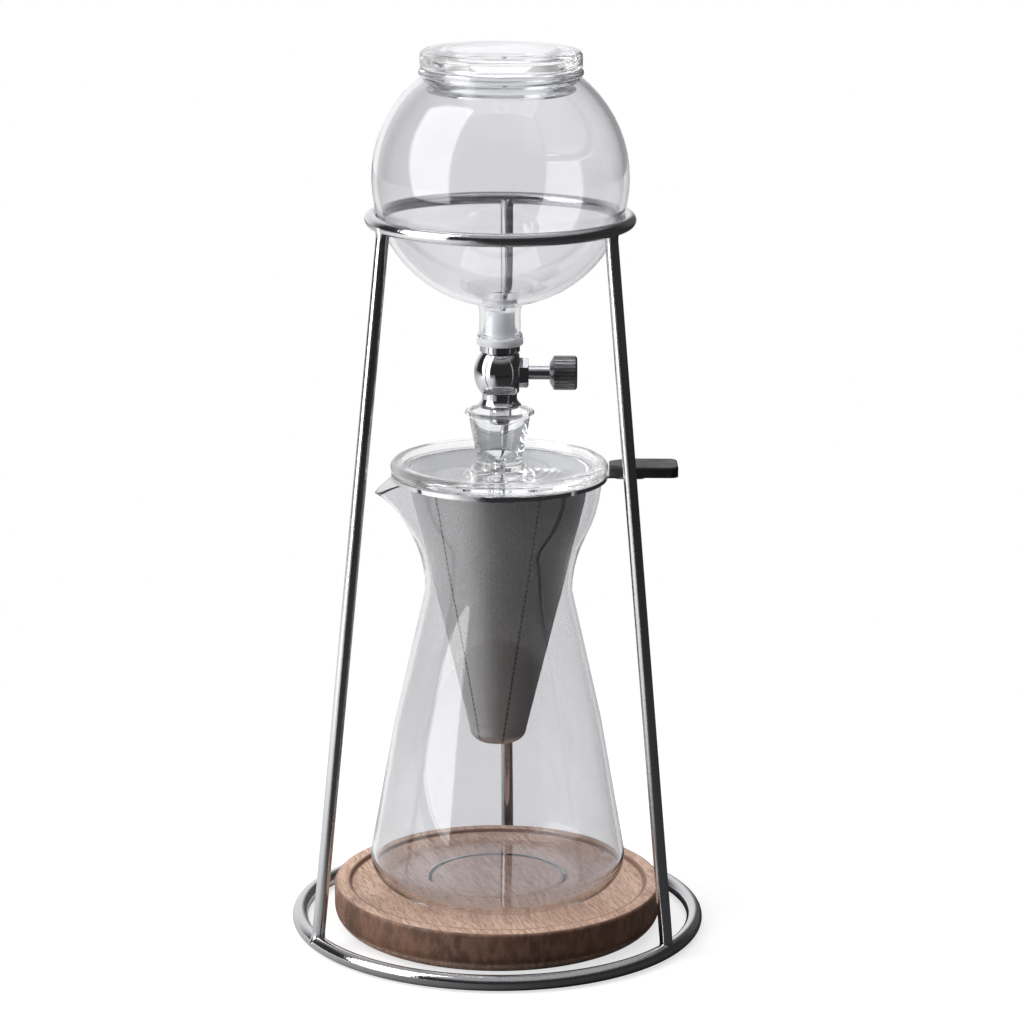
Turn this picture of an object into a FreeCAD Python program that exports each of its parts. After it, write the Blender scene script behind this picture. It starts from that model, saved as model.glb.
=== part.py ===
"""Cold drip coffee tower, as a parametric FreeCAD document.

Every piece is built about its own natural origin and placed by the chain of seats that carries
it: table, coaster, carafe, filter, drip lid, valve, stopper, globe, top ring, tank lid.
Lengths are in millimetres and angles in degrees. +Z is up, +X points along the valve knob and
the filter handle, and the origin is on the table under the middle of the tower.
"""

import FreeCAD
import Part
import Sketcher
import math
import os

SIZES = {
    # stand
    "base_ring_diameter": (160.0, "outside diameter of the hoop on the table"),
    "base_rod_diameter": (6.0, "rod of the base hoop"),
    "frame_rod_diameter": (5.0, "rod of the legs and of the top hoop"),
    "leg_turn": (3.0, "angle by which the legs are turned clockwise, seen from above"),
    "weld_width": (0.8, "how far a weld stands out from a leg"),
    "weld_length": (3.4, "length of a weld along a leg"),
    "ring_drop": (15.4, "height of the globe's centre above the top hoop"),
    "seat_gap": (0.05, "gap between the globe and the hoop"),
    # coaster
    "coaster_diameter": (127.0, "wooden coaster"),
    "coaster_thickness": (16.9, "wooden coaster"),
    "coaster_round": (8.0, "round of its lower edge"),
    "coaster_edge_round": (1.2, "round of its upper edge"),
    "recess_diameter": (114.8, "shallow recess for the carafe"),
    "recess_depth": (1.2, "shallow recess for the carafe"),
    # carafe
    "carafe_height": (163.1, "foot to rim"),
    "carafe_wall": (1.7, "glass"),
    "carafe_base": (3.0, "glass under the coffee"),
    "belly_diameter": (98.6, "widest part, just above the foot"),
    "belly_round": (12.0, "round between foot and belly"),
    "belly_bow": (1100.0, "radius of the slightly bowed side"),
    "waist_diameter": (56.2, "narrowest part"),
    "waist_height": (118.0, "foot to waist"),
    "rim_diameter": (78.0, "mouth of the funnel"),
    "punt_depth": (1.2, "hollow under the foot"),
    "punt_diameter": (56.0, "hollow under the foot"),
    "punt_slope": (3.6, "sloped edge of the hollow under the foot"),
    "spout_reach": (8.8, "how far the spout's lip stands out from the rim"),
    "spout_drop": (7.2, "how far the spout's lip lies below the rim"),
    "spout_root": (9.0, "how far inside the rim the spout's underside starts"),
    "spout_slope": (30.0, "rise of the spout's underside"),
    "spout_half_angle": (22.0, "half of the spout's cone angle"),
    # filter
    "steel_gauge": (0.8, "flange and tab"),
    "screen_gauge": (0.5, "outer etched screen"),
    "mesh_gauge": (0.4, "inner mesh"),
    "mesh_gap": (0.1, "between screen and mesh"),
    "filter_rim_gap": (2.4, "cone to carafe at the rim"),
    "filter_waist_gap": (2.3, "cone to carafe at the waist"),
    "filter_depth": (105.0, "flange to the bottom of the cap"),
    "filter_end_diameter": (19.51, "the cone's line at the bottom of the cap"),
    "cap_height": (8.0, "closed end of the cone"),
    "cap_round": (5.0, "round of the closed end"),
    "collar_depth": (2.6, "collar that holds the cones"),
    "flange_overhang": (2.2, "flange beyond the carafe's rim"),
    "flange_lip": (1.6, "depth of the turned-down edge"),
    "tab_width": (11.0, "tab under the handle"),
    "tab_length": (15.0, "tab beyond the flange"),
    "tab_chamfer": (2.75, "corners of the tab"),
    "handle_gap": (0.6, "between the drip lid and the handle's nose"),
    "handle_length": (25.8, "nose to end"),
    "handle_width": (16.4, "bar of the handle"),
    "nose_width": (8.4, "narrow end of the nose"),
    "nose_length": (6.5, "tapered part of the handle"),
    "handle_thickness": (4.0, "bar of the handle"),
    "handle_corner": (3.0, "round of the outer corners"),
    "handle_edge_round": (0.8, "round of the upper edges"),
    "screw_diameter": (3.0, "handle screws"),
    "screw_head_diameter": (5.2, "handle screws"),
    "screw_head_height": (1.0, "handle screws"),
    "screw_reach": (2.8, "screw inside the handle"),
    "screw_first": (5.0, "first screw from the flange's edge"),
    "screw_pitch": (6.6, "from screw to screw"),
    # drip lid
    "lid_overhang": (0.2, "drip lid beyond the filter's flange"),
    "lid_rim_height": (4.8, "raised rim"),
    "lid_rim_width": (5.1, "raised rim"),
    "lid_rim_slope": (0.8, "sloped inner side of the raised rim"),
    "lid_plate": (3.0, "thickness of the plate"),
    "lid_plate_rise": (2.2, "top of the plate above the seat"),
    "lid_locate_gap": (0.6, "plate inside the filter's mouth"),
    "lid_locate_slope": (0.6, "sloped side of the plate inside the filter's mouth"),
    "cup_height": (24.4, "rim of the drip cup above the seat"),
    "cup_rim_diameter": (26.4, "over the rolled lip"),
    "cup_lip": (1.6, "how far the lip stands out"),
    "cup_lip_height": (2.6, "lip of the cup"),
    "cup_lip_hollow": (2.0, "hollow round under the lip"),
    "cup_lip_round": (1.0, "round of the lip's edge"),
    "cup_wall": (2.1, "glass of the cup"),
    "cup_foot_diameter": (16.2, "outside, where the cup meets its foot"),
    "cup_foot_height": (8.0, "above the seat"),
    "cup_floor": (4.6, "floor of the cup above the seat"),
    "cup_foot_flare": (3.0, "how far the foot spreads on the plate"),
    "cup_foot_hollow": (6.4, "hollow round of the foot"),
    "nozzle_diameter": (9.2, "spigot under the cup"),
    "nozzle_length": (4.4, "spigot below the seat"),
    "nozzle_bore": (3.2, "drip hole"),
    # valve
    "cup_clearance": (1.4, "drip cup's lip to the valve's skirt"),
    "collar_diameter": (15.2, "collar under the stopper"),
    "collar_height": (2.6, "collar under the stopper"),
    "collar_groove": (0.6, "groove under the collar"),
    "barrel_diameter": (19.4, "widest part of the body"),
    "barrel_end_diameter": (14.2, "ends of the barrel"),
    "barrel_height": (15.2, "barrel between its ends"),
    "waist_neck_diameter": (13.2, "neck between barrel and skirt"),
    "waist_neck_height": (2.2, "neck between barrel and skirt"),
    "skirt_diameter": (16.4, "flared skirt"),
    "skirt_height": (3.2, "flared skirt"),
    "skirt_edge": (0.8, "slanted edge of the skirt"),
    "skirt_chamfer": (0.4, "how far that edge slants in"),
    "skirt_hollow": (4.2, "hollow round of the flare"),
    "flat_offset": (7.4, "flat face under the gland nut, from the valve's axis"),
    "tail_diameter": (8.0, "threaded inlet tube"),
    "tail_bore": (4.0, "threaded inlet tube"),
    "tail_screwed": (5.0, "part of the tube inside the valve"),
    "tail_chamfer": (0.5, "upper end of the tube"),
    "passage_diameter": (2.4, "water passage"),
    "seat_diameter": (6.4, "valve seat bush"),
    "seat_back": (4.4, "blind end of the seat bush from the valve's axis"),
    "seat_front": (2.4, "open end of the seat bush from the valve's axis"),
    "needle_diameter": (3.0, "needle end of the spindle"),
    "needle_reach": (1.5, "needle tip beyond the valve's axis when closed"),
    "needle_taper": (2.2, "tapered part of the needle"),
    "needle_tip_diameter": (1.4, "end of the needle"),
    "stem_diameter": (5.2, "spindle"),
    "stem_end": (25.4, "outer end of the spindle from the valve's axis"),
    "running_gap": (0.05, "radial clearance of turning and sliding fits"),
    "fit_gap": (0.02, "clearance of pieces that are screwed or pressed together"),
    "seal_section": (1.3, "O-ring section"),
    "seal_groove_diameter": (3.8, "groove in the spindle"),
    "seal_start": (5.6, "inner side of the O-ring from the valve's axis"),
    "seal_side_gap": (0.1, "O-ring to the sides of its groove"),
    "gland_thread_diameter": (8.4, "gland nut inside the valve"),
    "gland_start": (4.6, "inner end of the gland nut from the valve's axis"),
    "gland_hex": (10.0, "across the flats"),
    "gland_hex_length": (3.5, "hexagon"),
    "gland_bevel": (0.5, "bevelled corners of the hexagon, along its axis"),
    "gland_lip": (1.4, "outer wall of the O-ring's chamber"),
    "knob_start": (18.9, "inner end of the knob from the valve's axis"),
    "knob_length": (10.3, "knob"),
    "knob_diameter": (13.0, "knob"),
    "knob_shoulder": (1.6, "cone on the inner side"),
    "knob_boss_diameter": (7.4, "small end of the cone"),
    "knob_chamfer": (0.7, "outer edge of the knob"),
    "ridge_depth": (0.35, "grooves between the ridges"),
    "ridge_width": (0.9, "grooves between the ridges"),
    "grub_diameter": (2.5, "grub screw"),
    "grub_place": (4.0, "grub screw from the knob's inner end"),
    "grub_sunk": (0.5, "head of the grub screw below the knob's surface"),
    "tip_diameter": (7.4, "drip tip"),
    "tip_bore": (2.4, "drip tip"),
    "tip_reach": (6.9, "tip below the skirt"),
    "tip_pressed": (3.4, "tip inside the skirt"),
    "tip_ring_height": (1.2, "end ring"),
    "tip_groove_depth": (0.4, "groove above the end ring"),
    # stopper, tank and lid
    "bung_flange_diameter": (17.6, "stopper's flange"),
    "bung_flange": (3.2, "stopper's flange"),
    "bung_length": (10.0, "stopper inside the outlet tube"),
    "bung_taper": (0.3, "stopper is narrower at its upper end by this radius"),
    "bung_round": (0.8, "round of the flange's edges"),
    "tail_recess": (0.9, "stopper above the end of the inlet tube"),
    "globe_diameter": (96.4, "tank"),
    "glass_wall": (2.0, "tank"),
    "outlet_diameter": (15.6, "outlet tube"),
    "outlet_drop": (60.1, "end of the outlet tube below the globe's centre"),
    "outlet_round": (3.0, "hollow round between tube and globe"),
    "outlet_lip": (0.7, "how far the end of the tube is spread"),
    "outlet_lip_height": (1.6, "end of the tube"),
    "mouth_height": (41.0, "seat of the lid above the globe's centre"),
    "neck_diameter": (59.0, "outside, where the bead starts"),
    "mouth_diameter": (56.2, "inside"),
    "tank_lid_diameter": (60.6, "flange"),
    "tank_lid_edge": (6.8, "flange"),
    "tank_lid_dome": (1.8, "rise of the middle"),
    "tank_lid_round": (2.2, "round of the flange's upper edge"),
    "tank_lid_lower_round": (1.1, "round of the flange's lower edge"),
    "plug_diameter": (50.0, "skirt of the lid"),
    "plug_wall": (2.5, "skirt of the lid"),
    "plug_depth": (9.6, "skirt of the lid"),
    "plug_hollow": (3.2, "hollow above the seat"),
    "lid_seal_gap": (0.3, "silicone to the mouth"),
    "seal_inset": (0.4, "silicone ring short of the skirt's ends"),
    "seal_rib": (1.3, "depth of the grooves between the ribs"),
}

KNOB_RIDGES = 28
SEAL_RIBS = 3
RIB_SLOPE = 0.3       # sloped part of each side of a rib, as a share of the rib's pitch
HEX_SIDES = 6
HEX_COSINE = math.cos(math.pi / HEX_SIDES)  # half across the flats over half across the corners
WELD_START = 0.45     # where a weld begins, as a share of the hoop's rod radius
BEAD_FULLNESS = 1.01  # radius of the globe's bead over half its height
TRIM_REACH = 3        # how often the line from rim to lip is laid end to end to trim the spout
OVERSHOOT = 1.0       # how far a cut runs past the solid
TOLERANCE = 0.01      # for finding the edges of a face

# Direction of each leg from the front, before the whole frame is turned
LEG_ANGLES = {"leg_front_left": -60, "leg_front_right": 60, "leg_back": 180}


class Dim:
    """A size that knows its value and the spreadsheet expression it comes from."""

    def __init__(self, value, text):
        self.value = float(value)
        self.text = text

    def _join(self, other, sign, value):
        return Dim(value, "(%s %s %s)" % (self.text, sign, other.text))

    def __add__(self, other):
        other = dim(other)
        return self._join(other, "+", self.value + other.value)

    def __radd__(self, other):
        return dim(other) + self

    def __sub__(self, other):
        other = dim(other)
        return self._join(other, "-", self.value - other.value)

    def __rsub__(self, other):
        return dim(other) - self

    def __mul__(self, other):
        other = dim(other)
        return self._join(other, "*", self.value * other.value)

    def __rmul__(self, other):
        return dim(other) * self

    def __truediv__(self, other):
        other = dim(other)
        return self._join(other, "/", self.value / other.value)

    def __neg__(self):
        return Dim(-self.value, "(-1 * %s)" % self.text)


def dim(value):
    """A plain number as a Dim; a Dim stays as it is."""
    if isinstance(value, Dim):
        return value
    return Dim(value, "(%.9g)" % value)


def square_root(value):
    return Dim(math.sqrt(value.value), "sqrt(%s)" % value.text)


def sine(angle):
    return Dim(math.sin(math.radians(angle.value)), "sin(%s * 1 deg)" % angle.text)


def cosine(angle):
    return Dim(math.cos(math.radians(angle.value)), "cos(%s * 1 deg)" % angle.text)


class SizeTable:
    """Gives each named size as a Dim: table.globe_diameter and so on."""

    def __getattr__(self, alias):
        return Dim(SIZES[alias][0], "Sizes." + alias)


table = SizeTable()


def fill_sheet(document):
    sheet = document.addObject("Spreadsheet::Sheet", "Sizes")
    for row, (alias, (value, note)) in enumerate(SIZES.items(), start=1):
        sheet.set("A%d" % row, note)
        sheet.set("B%d" % row, str(value))
        sheet.setAlias("B%d" % row, alias)
    document.recompute()
    return sheet


class Outline:
    """A closed outline of straight lines and arcs, as points with the edge that follows each."""

    def __init__(self, across, up):
        self.points = [(dim(across), dim(up))]
        self.edges = []

    def line(self, across, up):
        self.edges.append(None)
        self.points.append((dim(across), dim(up)))
        return self

    def arc(self, across, up, radius, side):
        """An arc to the given point; side is "left" where it turns left, or "right"."""
        self.edges.append((dim(radius), side))
        self.points.append((dim(across), dim(up)))
        return self

    def close(self):
        self.edges.append(None)
        return self


def point(pair):
    return FreeCAD.Vector(pair[0].value, pair[1].value, 0)


def arc_geometry(start, end, radius, side):
    """The shorter arc of this radius from start to end, and whether it runs backwards."""
    chord = end - start
    middle = (start + end) * 0.5
    rise = math.sqrt(radius ** 2 - (chord.Length / 2) ** 2)
    across = FreeCAD.Vector(-chord.y, chord.x, 0).normalize()
    left = side == "left"
    centre = middle + across * (rise if left else -rise)
    first, last = (start, end) if left else (end, start)
    angles = [math.atan2(spot.y - centre.y, spot.x - centre.x) for spot in (first, last)]
    circle = Part.Circle(centre, FreeCAD.Vector(0, 0, 1), radius)
    return Part.ArcOfCircle(circle, angles[0], angles[1]), not left


def bind(sketch, constraint, size):
    index = sketch.addConstraint(constraint)
    sketch.setExpression("Constraints[%d]" % index, size.text)


def hold(sketch, index, end, pair):
    """Fixes a point of the sketch at the sizes in pair."""
    across, up = pair
    if across.value == 0:
        sketch.addConstraint(Sketcher.Constraint("PointOnObject", index, end, -2))
    else:
        bind(sketch, Sketcher.Constraint("DistanceX", index, end, across.value), across)
    if up.value == 0:
        sketch.addConstraint(Sketcher.Constraint("PointOnObject", index, end, -1))
    else:
        bind(sketch, Sketcher.Constraint("DistanceY", index, end, up.value), up)


def new_sketch(body, name, role="XZ_Plane"):
    sketch = body.newObject("Sketcher::SketchObject", name)
    plane = [item for item in body.Origin.OriginFeatures if item.Role == role][0]
    sketch.AttachmentSupport = [(plane, "")]
    sketch.MapMode = "FlatFace"
    return sketch


def draw(sketch, outline):
    """Draws a closed outline and binds every corner and radius to the sizes."""
    count = len(outline.edges)
    ends = []
    for number in range(count):
        start = point(outline.points[number])
        end = point(outline.points[(number + 1) % count])
        edge = outline.edges[number]
        if edge is None:
            index = sketch.addGeometry(Part.LineSegment(start, end), False)
            ends.append((index, 1, 2))
        else:
            shape, backwards = arc_geometry(start, end, edge[0].value, edge[1])
            index = sketch.addGeometry(shape, False)
            ends.append((index, 2, 1) if backwards else (index, 1, 2))
    for number in range(count):
        index, start_end, far_end = ends[number]
        following = ends[(number + 1) % count]
        sketch.addConstraint(
            Sketcher.Constraint("Coincident", index, far_end, following[0], following[1]))
        hold(sketch, index, start_end, outline.points[number])
        if outline.edges[number] is not None:
            radius = outline.edges[number][0]
            bind(sketch, Sketcher.Constraint("Radius", index, radius.value), radius)


def draw_circle(sketch, across, up, radius):
    across, up = dim(across), dim(up)
    centre = FreeCAD.Vector(across.value, up.value, 0)
    circle = Part.Circle(centre, FreeCAD.Vector(0, 0, 1), radius.value)
    index = sketch.addGeometry(circle, False)
    hold(sketch, index, 3, (across, up))
    bind(sketch, Sketcher.Constraint("Radius", index, radius.value), radius)


def draw_axis(sketch, start, end):
    """A construction line, which a feature can turn a profile about."""
    index = sketch.addGeometry(Part.LineSegment(point(start), point(end)), True)
    hold(sketch, index, 1, start)
    hold(sketch, index, 2, end)


def new_body(document, name):
    body = document.addObject("PartDesign::Body", name)
    body.Label = name
    return body


def place(body, across=None, up=None):
    if across is not None:
        body.setExpression("Placement.Base.x", across.text)
    if up is not None:
        body.setExpression("Placement.Base.z", up.text)


def turn(body, sketch, name, axis="V_Axis", cut=False):
    """Adds or cuts the solid that a sketch sweeps about an axis."""
    feature = body.newObject("PartDesign::Groove" if cut else "PartDesign::Revolution", name)
    feature.Profile = sketch
    feature.ReferenceAxis = (sketch, [axis])
    feature.Angle = 360
    sketch.Visibility = False
    body.Tip = feature
    return feature


def turned(body, name, outline, axis="V_Axis", cut=False):
    sketch = new_sketch(body, name + "_profile")
    draw(sketch, outline)
    return turn(body, sketch, name, axis, cut)


def push(body, sketch, name, length=None, cut=False, both=False, reverse=False):
    """Pads a sketch by a length, or pockets it; with no length a pocket goes right through."""
    feature = body.newObject("PartDesign::Pocket" if cut else "PartDesign::Pad", name)
    feature.Profile = sketch
    if length is None:
        feature.Type = "ThroughAll"
    else:
        feature.setExpression("Length", length.text)
    feature.Midplane = both
    feature.Reversed = reverse
    sketch.Visibility = False
    body.Tip = feature
    return feature


# Heights and radii that more than one piece shares

base_rod = table.base_rod_diameter / 2
base_centre = table.base_ring_diameter / 2 - base_rod
frame_rod = table.frame_rod_diameter / 2
globe_radius = table.globe_diameter / 2

recess_floor = table.coaster_thickness - table.recess_depth
rim_top = recess_floor + table.carafe_height
rim_radius = table.rim_diameter / 2
waist_radius = table.waist_diameter / 2
belly_radius = table.belly_diameter / 2

cone_top_radius = rim_radius - table.carafe_wall - table.filter_rim_gap
cone_waist_radius = waist_radius - table.carafe_wall - table.filter_waist_gap
cone_waist_depth = table.carafe_height - table.waist_height
cone_end_radius = table.filter_end_diameter / 2
upper_slope = (cone_top_radius - cone_waist_radius) / cone_waist_depth
lower_slope = (cone_waist_radius - cone_end_radius) / (table.filter_depth - cone_waist_depth)
flange_radius = rim_radius + table.flange_overhang

lid_seat = rim_top + table.steel_gauge
drip_lid_radius = flange_radius + table.lid_overhang
cup_rim = lid_seat + table.cup_height

barrel_half = table.barrel_height / 2
valve_skirt = barrel_half + table.waist_neck_height + table.skirt_height
valve_axis = cup_rim + table.cup_clearance + valve_skirt
valve_collar = barrel_half + table.collar_groove + table.collar_height
seal_inside = table.seal_groove_diameter / 2 + table.running_gap
bung_seat = valve_axis + valve_collar
outlet_end = bung_seat + table.bung_flange
globe_centre = outlet_end + table.outlet_drop
outlet_inner = table.outlet_diameter / 2 - table.glass_wall

ring_reach = globe_radius + frame_rod + table.seat_gap
ring_centre = square_root(ring_reach * ring_reach - table.ring_drop * table.ring_drop)
ring_height = globe_centre - table.ring_drop
lid_height = globe_centre + table.mouth_height


def upper_cone(depth):
    """Outer radius of the filter cone between the carafe's rim and waist, at a depth below the rim."""
    return cone_top_radius - upper_slope * depth


def lower_cone(depth):
    """Outer radius of the filter cone below the carafe's waist, at a depth below the rim."""
    return cone_end_radius + lower_slope * (table.filter_depth - depth)


# Stand

def make_hoop(document, name, centre, rod, height):
    """A closed hoop of round rod."""
    body = new_body(document, name)
    sketch = new_sketch(body, name + "_section")
    draw_circle(sketch, centre, 0, rod)
    turn(body, sketch, name + "_hoop")
    place(body, up=height)
    return body


def make_leg(document, name, azimuth):
    """A straight rod between the hoops, saddled on both, with a small weld at each end."""
    body = new_body(document, name)
    rise = ring_height - base_rod
    lean = base_centre - ring_centre
    length = square_root(rise * rise + lean * lean)
    slant_out = rise / length
    slant_in = lean / length

    def spot(along, aside):
        """A point at a distance along the rod's axis and to its outer side."""
        return (base_centre - slant_in * along + slant_out * aside,
                base_rod + slant_out * along + slant_in * aside)

    weld = frame_rod + table.weld_width
    foot = base_rod * WELD_START
    head = frame_rod * WELD_START
    round_size = table.weld_length * table.weld_length / table.weld_width
    outline = Outline(*spot(foot, dim(0)))
    outline.line(*spot(foot, weld))
    outline.arc(*spot(base_rod + table.weld_length, frame_rod), round_size, "right")
    outline.line(*spot(length - frame_rod - table.weld_length, frame_rod))
    outline.arc(*spot(length - head, weld), round_size, "right")
    outline.line(*spot(length - head, dim(0)))
    outline.close()
    sketch = new_sketch(body, name + "_profile")
    draw_axis(sketch, spot(dim(0), dim(0)), spot(length, dim(0)))
    draw(sketch, outline)
    turn(body, sketch, name + "_rod", "Axis0")
    for end, centre, height, rod in (("foot", base_centre, base_rod, base_rod),
                                     ("head", ring_centre, ring_height, frame_rod)):
        saddle = new_sketch(body, name + "_" + end + "_section")
        draw_circle(saddle, centre, height, rod)
        turn(body, saddle, name + "_" + end + "_saddle", cut=True)
    angle = azimuth - 90 - table.leg_turn
    body.Placement = FreeCAD.Placement(
        FreeCAD.Vector(0, 0, 0), FreeCAD.Rotation(FreeCAD.Vector(0, 0, 1), angle.value))
    body.setExpression("Placement.Rotation.Angle", "%s * 1 deg" % angle.text)
    return body


def make_coaster(document):
    body = new_body(document, "coaster")
    radius = table.coaster_diameter / 2
    recess = table.recess_diameter / 2
    lower = table.coaster_round
    upper = table.coaster_edge_round
    top = table.coaster_thickness
    outline = Outline(0, 0)
    outline.line(radius - lower, 0)
    outline.arc(radius, lower, lower, "left")
    outline.line(radius, top - upper)
    outline.arc(radius - upper, top, upper, "left")
    outline.line(recess, top)
    outline.line(recess, recess_floor)
    outline.line(0, recess_floor)
    outline.close()
    turned(body, "coaster_plate", outline)
    return body


# Carafe

def belly_tangent(radius):
    """Where the side of the carafe runs into the round of its belly."""
    centre = (belly_radius - table.belly_round, table.belly_round)
    across = waist_radius - centre[0]
    up = table.waist_height - centre[1]
    square = across * across + up * up
    reach = square_root(square - radius * radius)
    return (centre[0] + (radius * radius * across + radius * reach * up) / square,
            centre[1] + (radius * radius * up - radius * reach * across) / square)


def carafe_side(outline, inset):
    """The funnel, waist and bowed side, from the rim down to the belly round."""
    half_height = (table.carafe_height - table.waist_height) / 2
    half_width = (rim_radius - waist_radius) / 2
    sweep = (half_height * half_height + half_width * half_width) / (half_width * 2)
    outline.arc(waist_radius + half_width - inset, table.waist_height + half_height, sweep, "right")
    outline.arc(waist_radius - inset, table.waist_height, sweep, "left")
    across, up = belly_tangent(table.belly_round)
    outline.arc(across - inset, up, table.belly_bow, "right")


def make_carafe(document):
    """An hourglass carafe: outer form and spout first, then the hollow inside both."""
    body = new_body(document, "carafe")
    wall = table.carafe_wall
    foot = belly_radius - table.belly_round
    outline = Outline(rim_radius, table.carafe_height)
    carafe_side(outline, dim(0))
    outline.arc(foot, 0, table.belly_round, "right")
    outline.line(table.punt_diameter / 2, 0)
    outline.line(table.punt_diameter / 2 - table.punt_slope, table.punt_depth)
    outline.line(0, table.punt_depth)
    outline.line(0, table.carafe_height)
    outline.close()
    turned(body, "carafe_form", outline)

    make_spout(body, "spout_form", dim(0), cut=False)
    trim = new_sketch(body, "spout_lip_line")
    rim = (wall / 2 - rim_radius, table.carafe_height)
    lip = spout_lip()
    beyond = rim[0] + (lip[0] - rim[0]) * TRIM_REACH
    above = table.carafe_height + spout_length()
    outline = Outline(0, table.carafe_height)
    outline.line(*rim)
    outline.line(beyond, rim[1] + (lip[1] - rim[1]) * TRIM_REACH)
    outline.line(beyond, above)
    outline.line(0, above)
    outline.close()
    draw(trim, outline)
    push(body, trim, "spout_lip_cut", cut=True, both=True)

    outline = Outline(rim_radius - wall, table.carafe_height)
    carafe_side(outline, wall)
    outline.arc(foot, table.carafe_base, table.belly_round - wall, "right")
    outline.line(0, table.carafe_base)
    outline.line(0, table.carafe_height)
    outline.close()
    turned(body, "carafe_hollow", outline, cut=True)
    make_spout(body, "spout_hollow", wall, cut=True)
    place(body, up=recess_floor)
    return body


def spout_lip():
    """The outermost point of the spout, in the carafe's own frame."""
    return -(rim_radius + table.spout_reach), table.carafe_height - table.spout_drop


def spout_length():
    """Length of the cones that shape the spout, well past its lip."""
    return (table.spout_reach + table.spout_root) * 2


def make_spout(body, name, inset, cut):
    """A slanted cone from the funnel's wall to beyond the spout's lip."""
    run = table.spout_reach + table.spout_root
    lip = spout_lip()
    steep = table.spout_slope + table.spout_half_angle
    shift = inset / sine(table.spout_half_angle)
    length = spout_length()
    start = (lip[0] + run - shift * cosine(steep),
             lip[1] - run * sine(table.spout_slope) / cosine(table.spout_slope)
             + shift * sine(steep))
    end = (start[0] - length * cosine(steep), start[1] + length * sine(steep))
    radius = length * sine(table.spout_half_angle) / cosine(table.spout_half_angle)
    edge = (end[0] - radius * sine(steep), end[1] - radius * cosine(steep))
    sketch = new_sketch(body, name + "_profile")
    draw_axis(sketch, start, end)
    outline = Outline(*start)
    outline.line(*edge)
    outline.line(*end)
    outline.close()
    draw(sketch, outline)
    turn(body, sketch, name, "Axis0", cut)


# Filter

def make_cone(document, name, inset, gauge, bottom):
    """A thin conical wall that follows the carafe's rim and waist; bottom is a depth below the rim."""
    body = new_body(document, name)
    wide = cone_top_radius - inset
    waist = cone_waist_radius - inset
    narrow = lower_cone(bottom) - inset
    outline = Outline(narrow, -bottom)
    outline.line(waist, -cone_waist_depth)
    outline.line(wide, 0)
    outline.line(wide - gauge, 0)
    outline.line(waist - gauge, -cone_waist_depth)
    outline.line(narrow - gauge, -bottom)
    outline.close()
    turned(body, name + "_wall", outline)
    place(body, up=rim_top)
    return body


def make_filter_cap(document):
    """The closed end: a shallow pressed cup that carries on the line of the cone."""
    body = new_body(document, "filter_cap")
    gauge = table.screen_gauge
    top = table.filter_depth - table.cap_height
    bottom = table.filter_depth
    corner = table.cap_round
    side = lower_cone(bottom - corner)
    outline = Outline(0, -bottom)
    outline.line(side - corner, -bottom)
    outline.arc(side, corner - bottom, corner, "left")
    outline.line(lower_cone(top), -top)
    outline.line(lower_cone(top) - gauge, -top)
    outline.line(side - gauge, corner - bottom)
    outline.arc(side - corner, gauge - bottom, corner - gauge, "right")
    outline.line(0, gauge - bottom)
    outline.close()
    turned(body, "filter_cap_cup", outline)
    place(body, up=rim_top)
    return body


def make_filter_rim(document):
    """Flange with a turned-down edge, a collar for the cones and a tab for the handle."""
    body = new_body(document, "filter_rim")
    gauge = table.steel_gauge
    depth = table.collar_depth
    outline = Outline(cone_top_radius, 0)
    outline.line(cone_top_radius, gauge)
    outline.line(flange_radius, gauge)
    outline.line(flange_radius, gauge - table.flange_lip)
    outline.line(flange_radius - gauge, gauge - table.flange_lip)
    outline.line(flange_radius - gauge, 0)
    outline.line(cone_top_radius + table.screen_gauge, 0)
    outline.line(upper_cone(depth) + table.screen_gauge, -depth)
    outline.line(upper_cone(depth), -depth)
    outline.close()
    turned(body, "filter_flange", outline)
    tab = new_sketch(body, "tab_outline", "XY_Plane")
    half = table.tab_width / 2
    start = flange_radius - gauge * 2
    end = flange_radius + table.tab_length
    outline = Outline(start, -half)
    outline.line(end - table.tab_chamfer, -half)
    outline.line(end, table.tab_chamfer - half)
    outline.line(end, half - table.tab_chamfer)
    outline.line(end - table.tab_chamfer, half)
    outline.line(start, half)
    outline.close()
    draw(tab, outline)
    push(body, tab, "filter_tab", gauge)
    holes = new_sketch(body, "tab_holes", "XY_Plane")
    for number in range(2):
        draw_circle(holes, screw_place(number), 0, table.screw_diameter / 2 + table.fit_gap)
    push(body, holes, "tab_drilling", cut=True, both=True)
    place(body, up=rim_top)
    return body


def screw_place(number):
    return flange_radius + table.screw_first + table.screw_pitch * number


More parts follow.
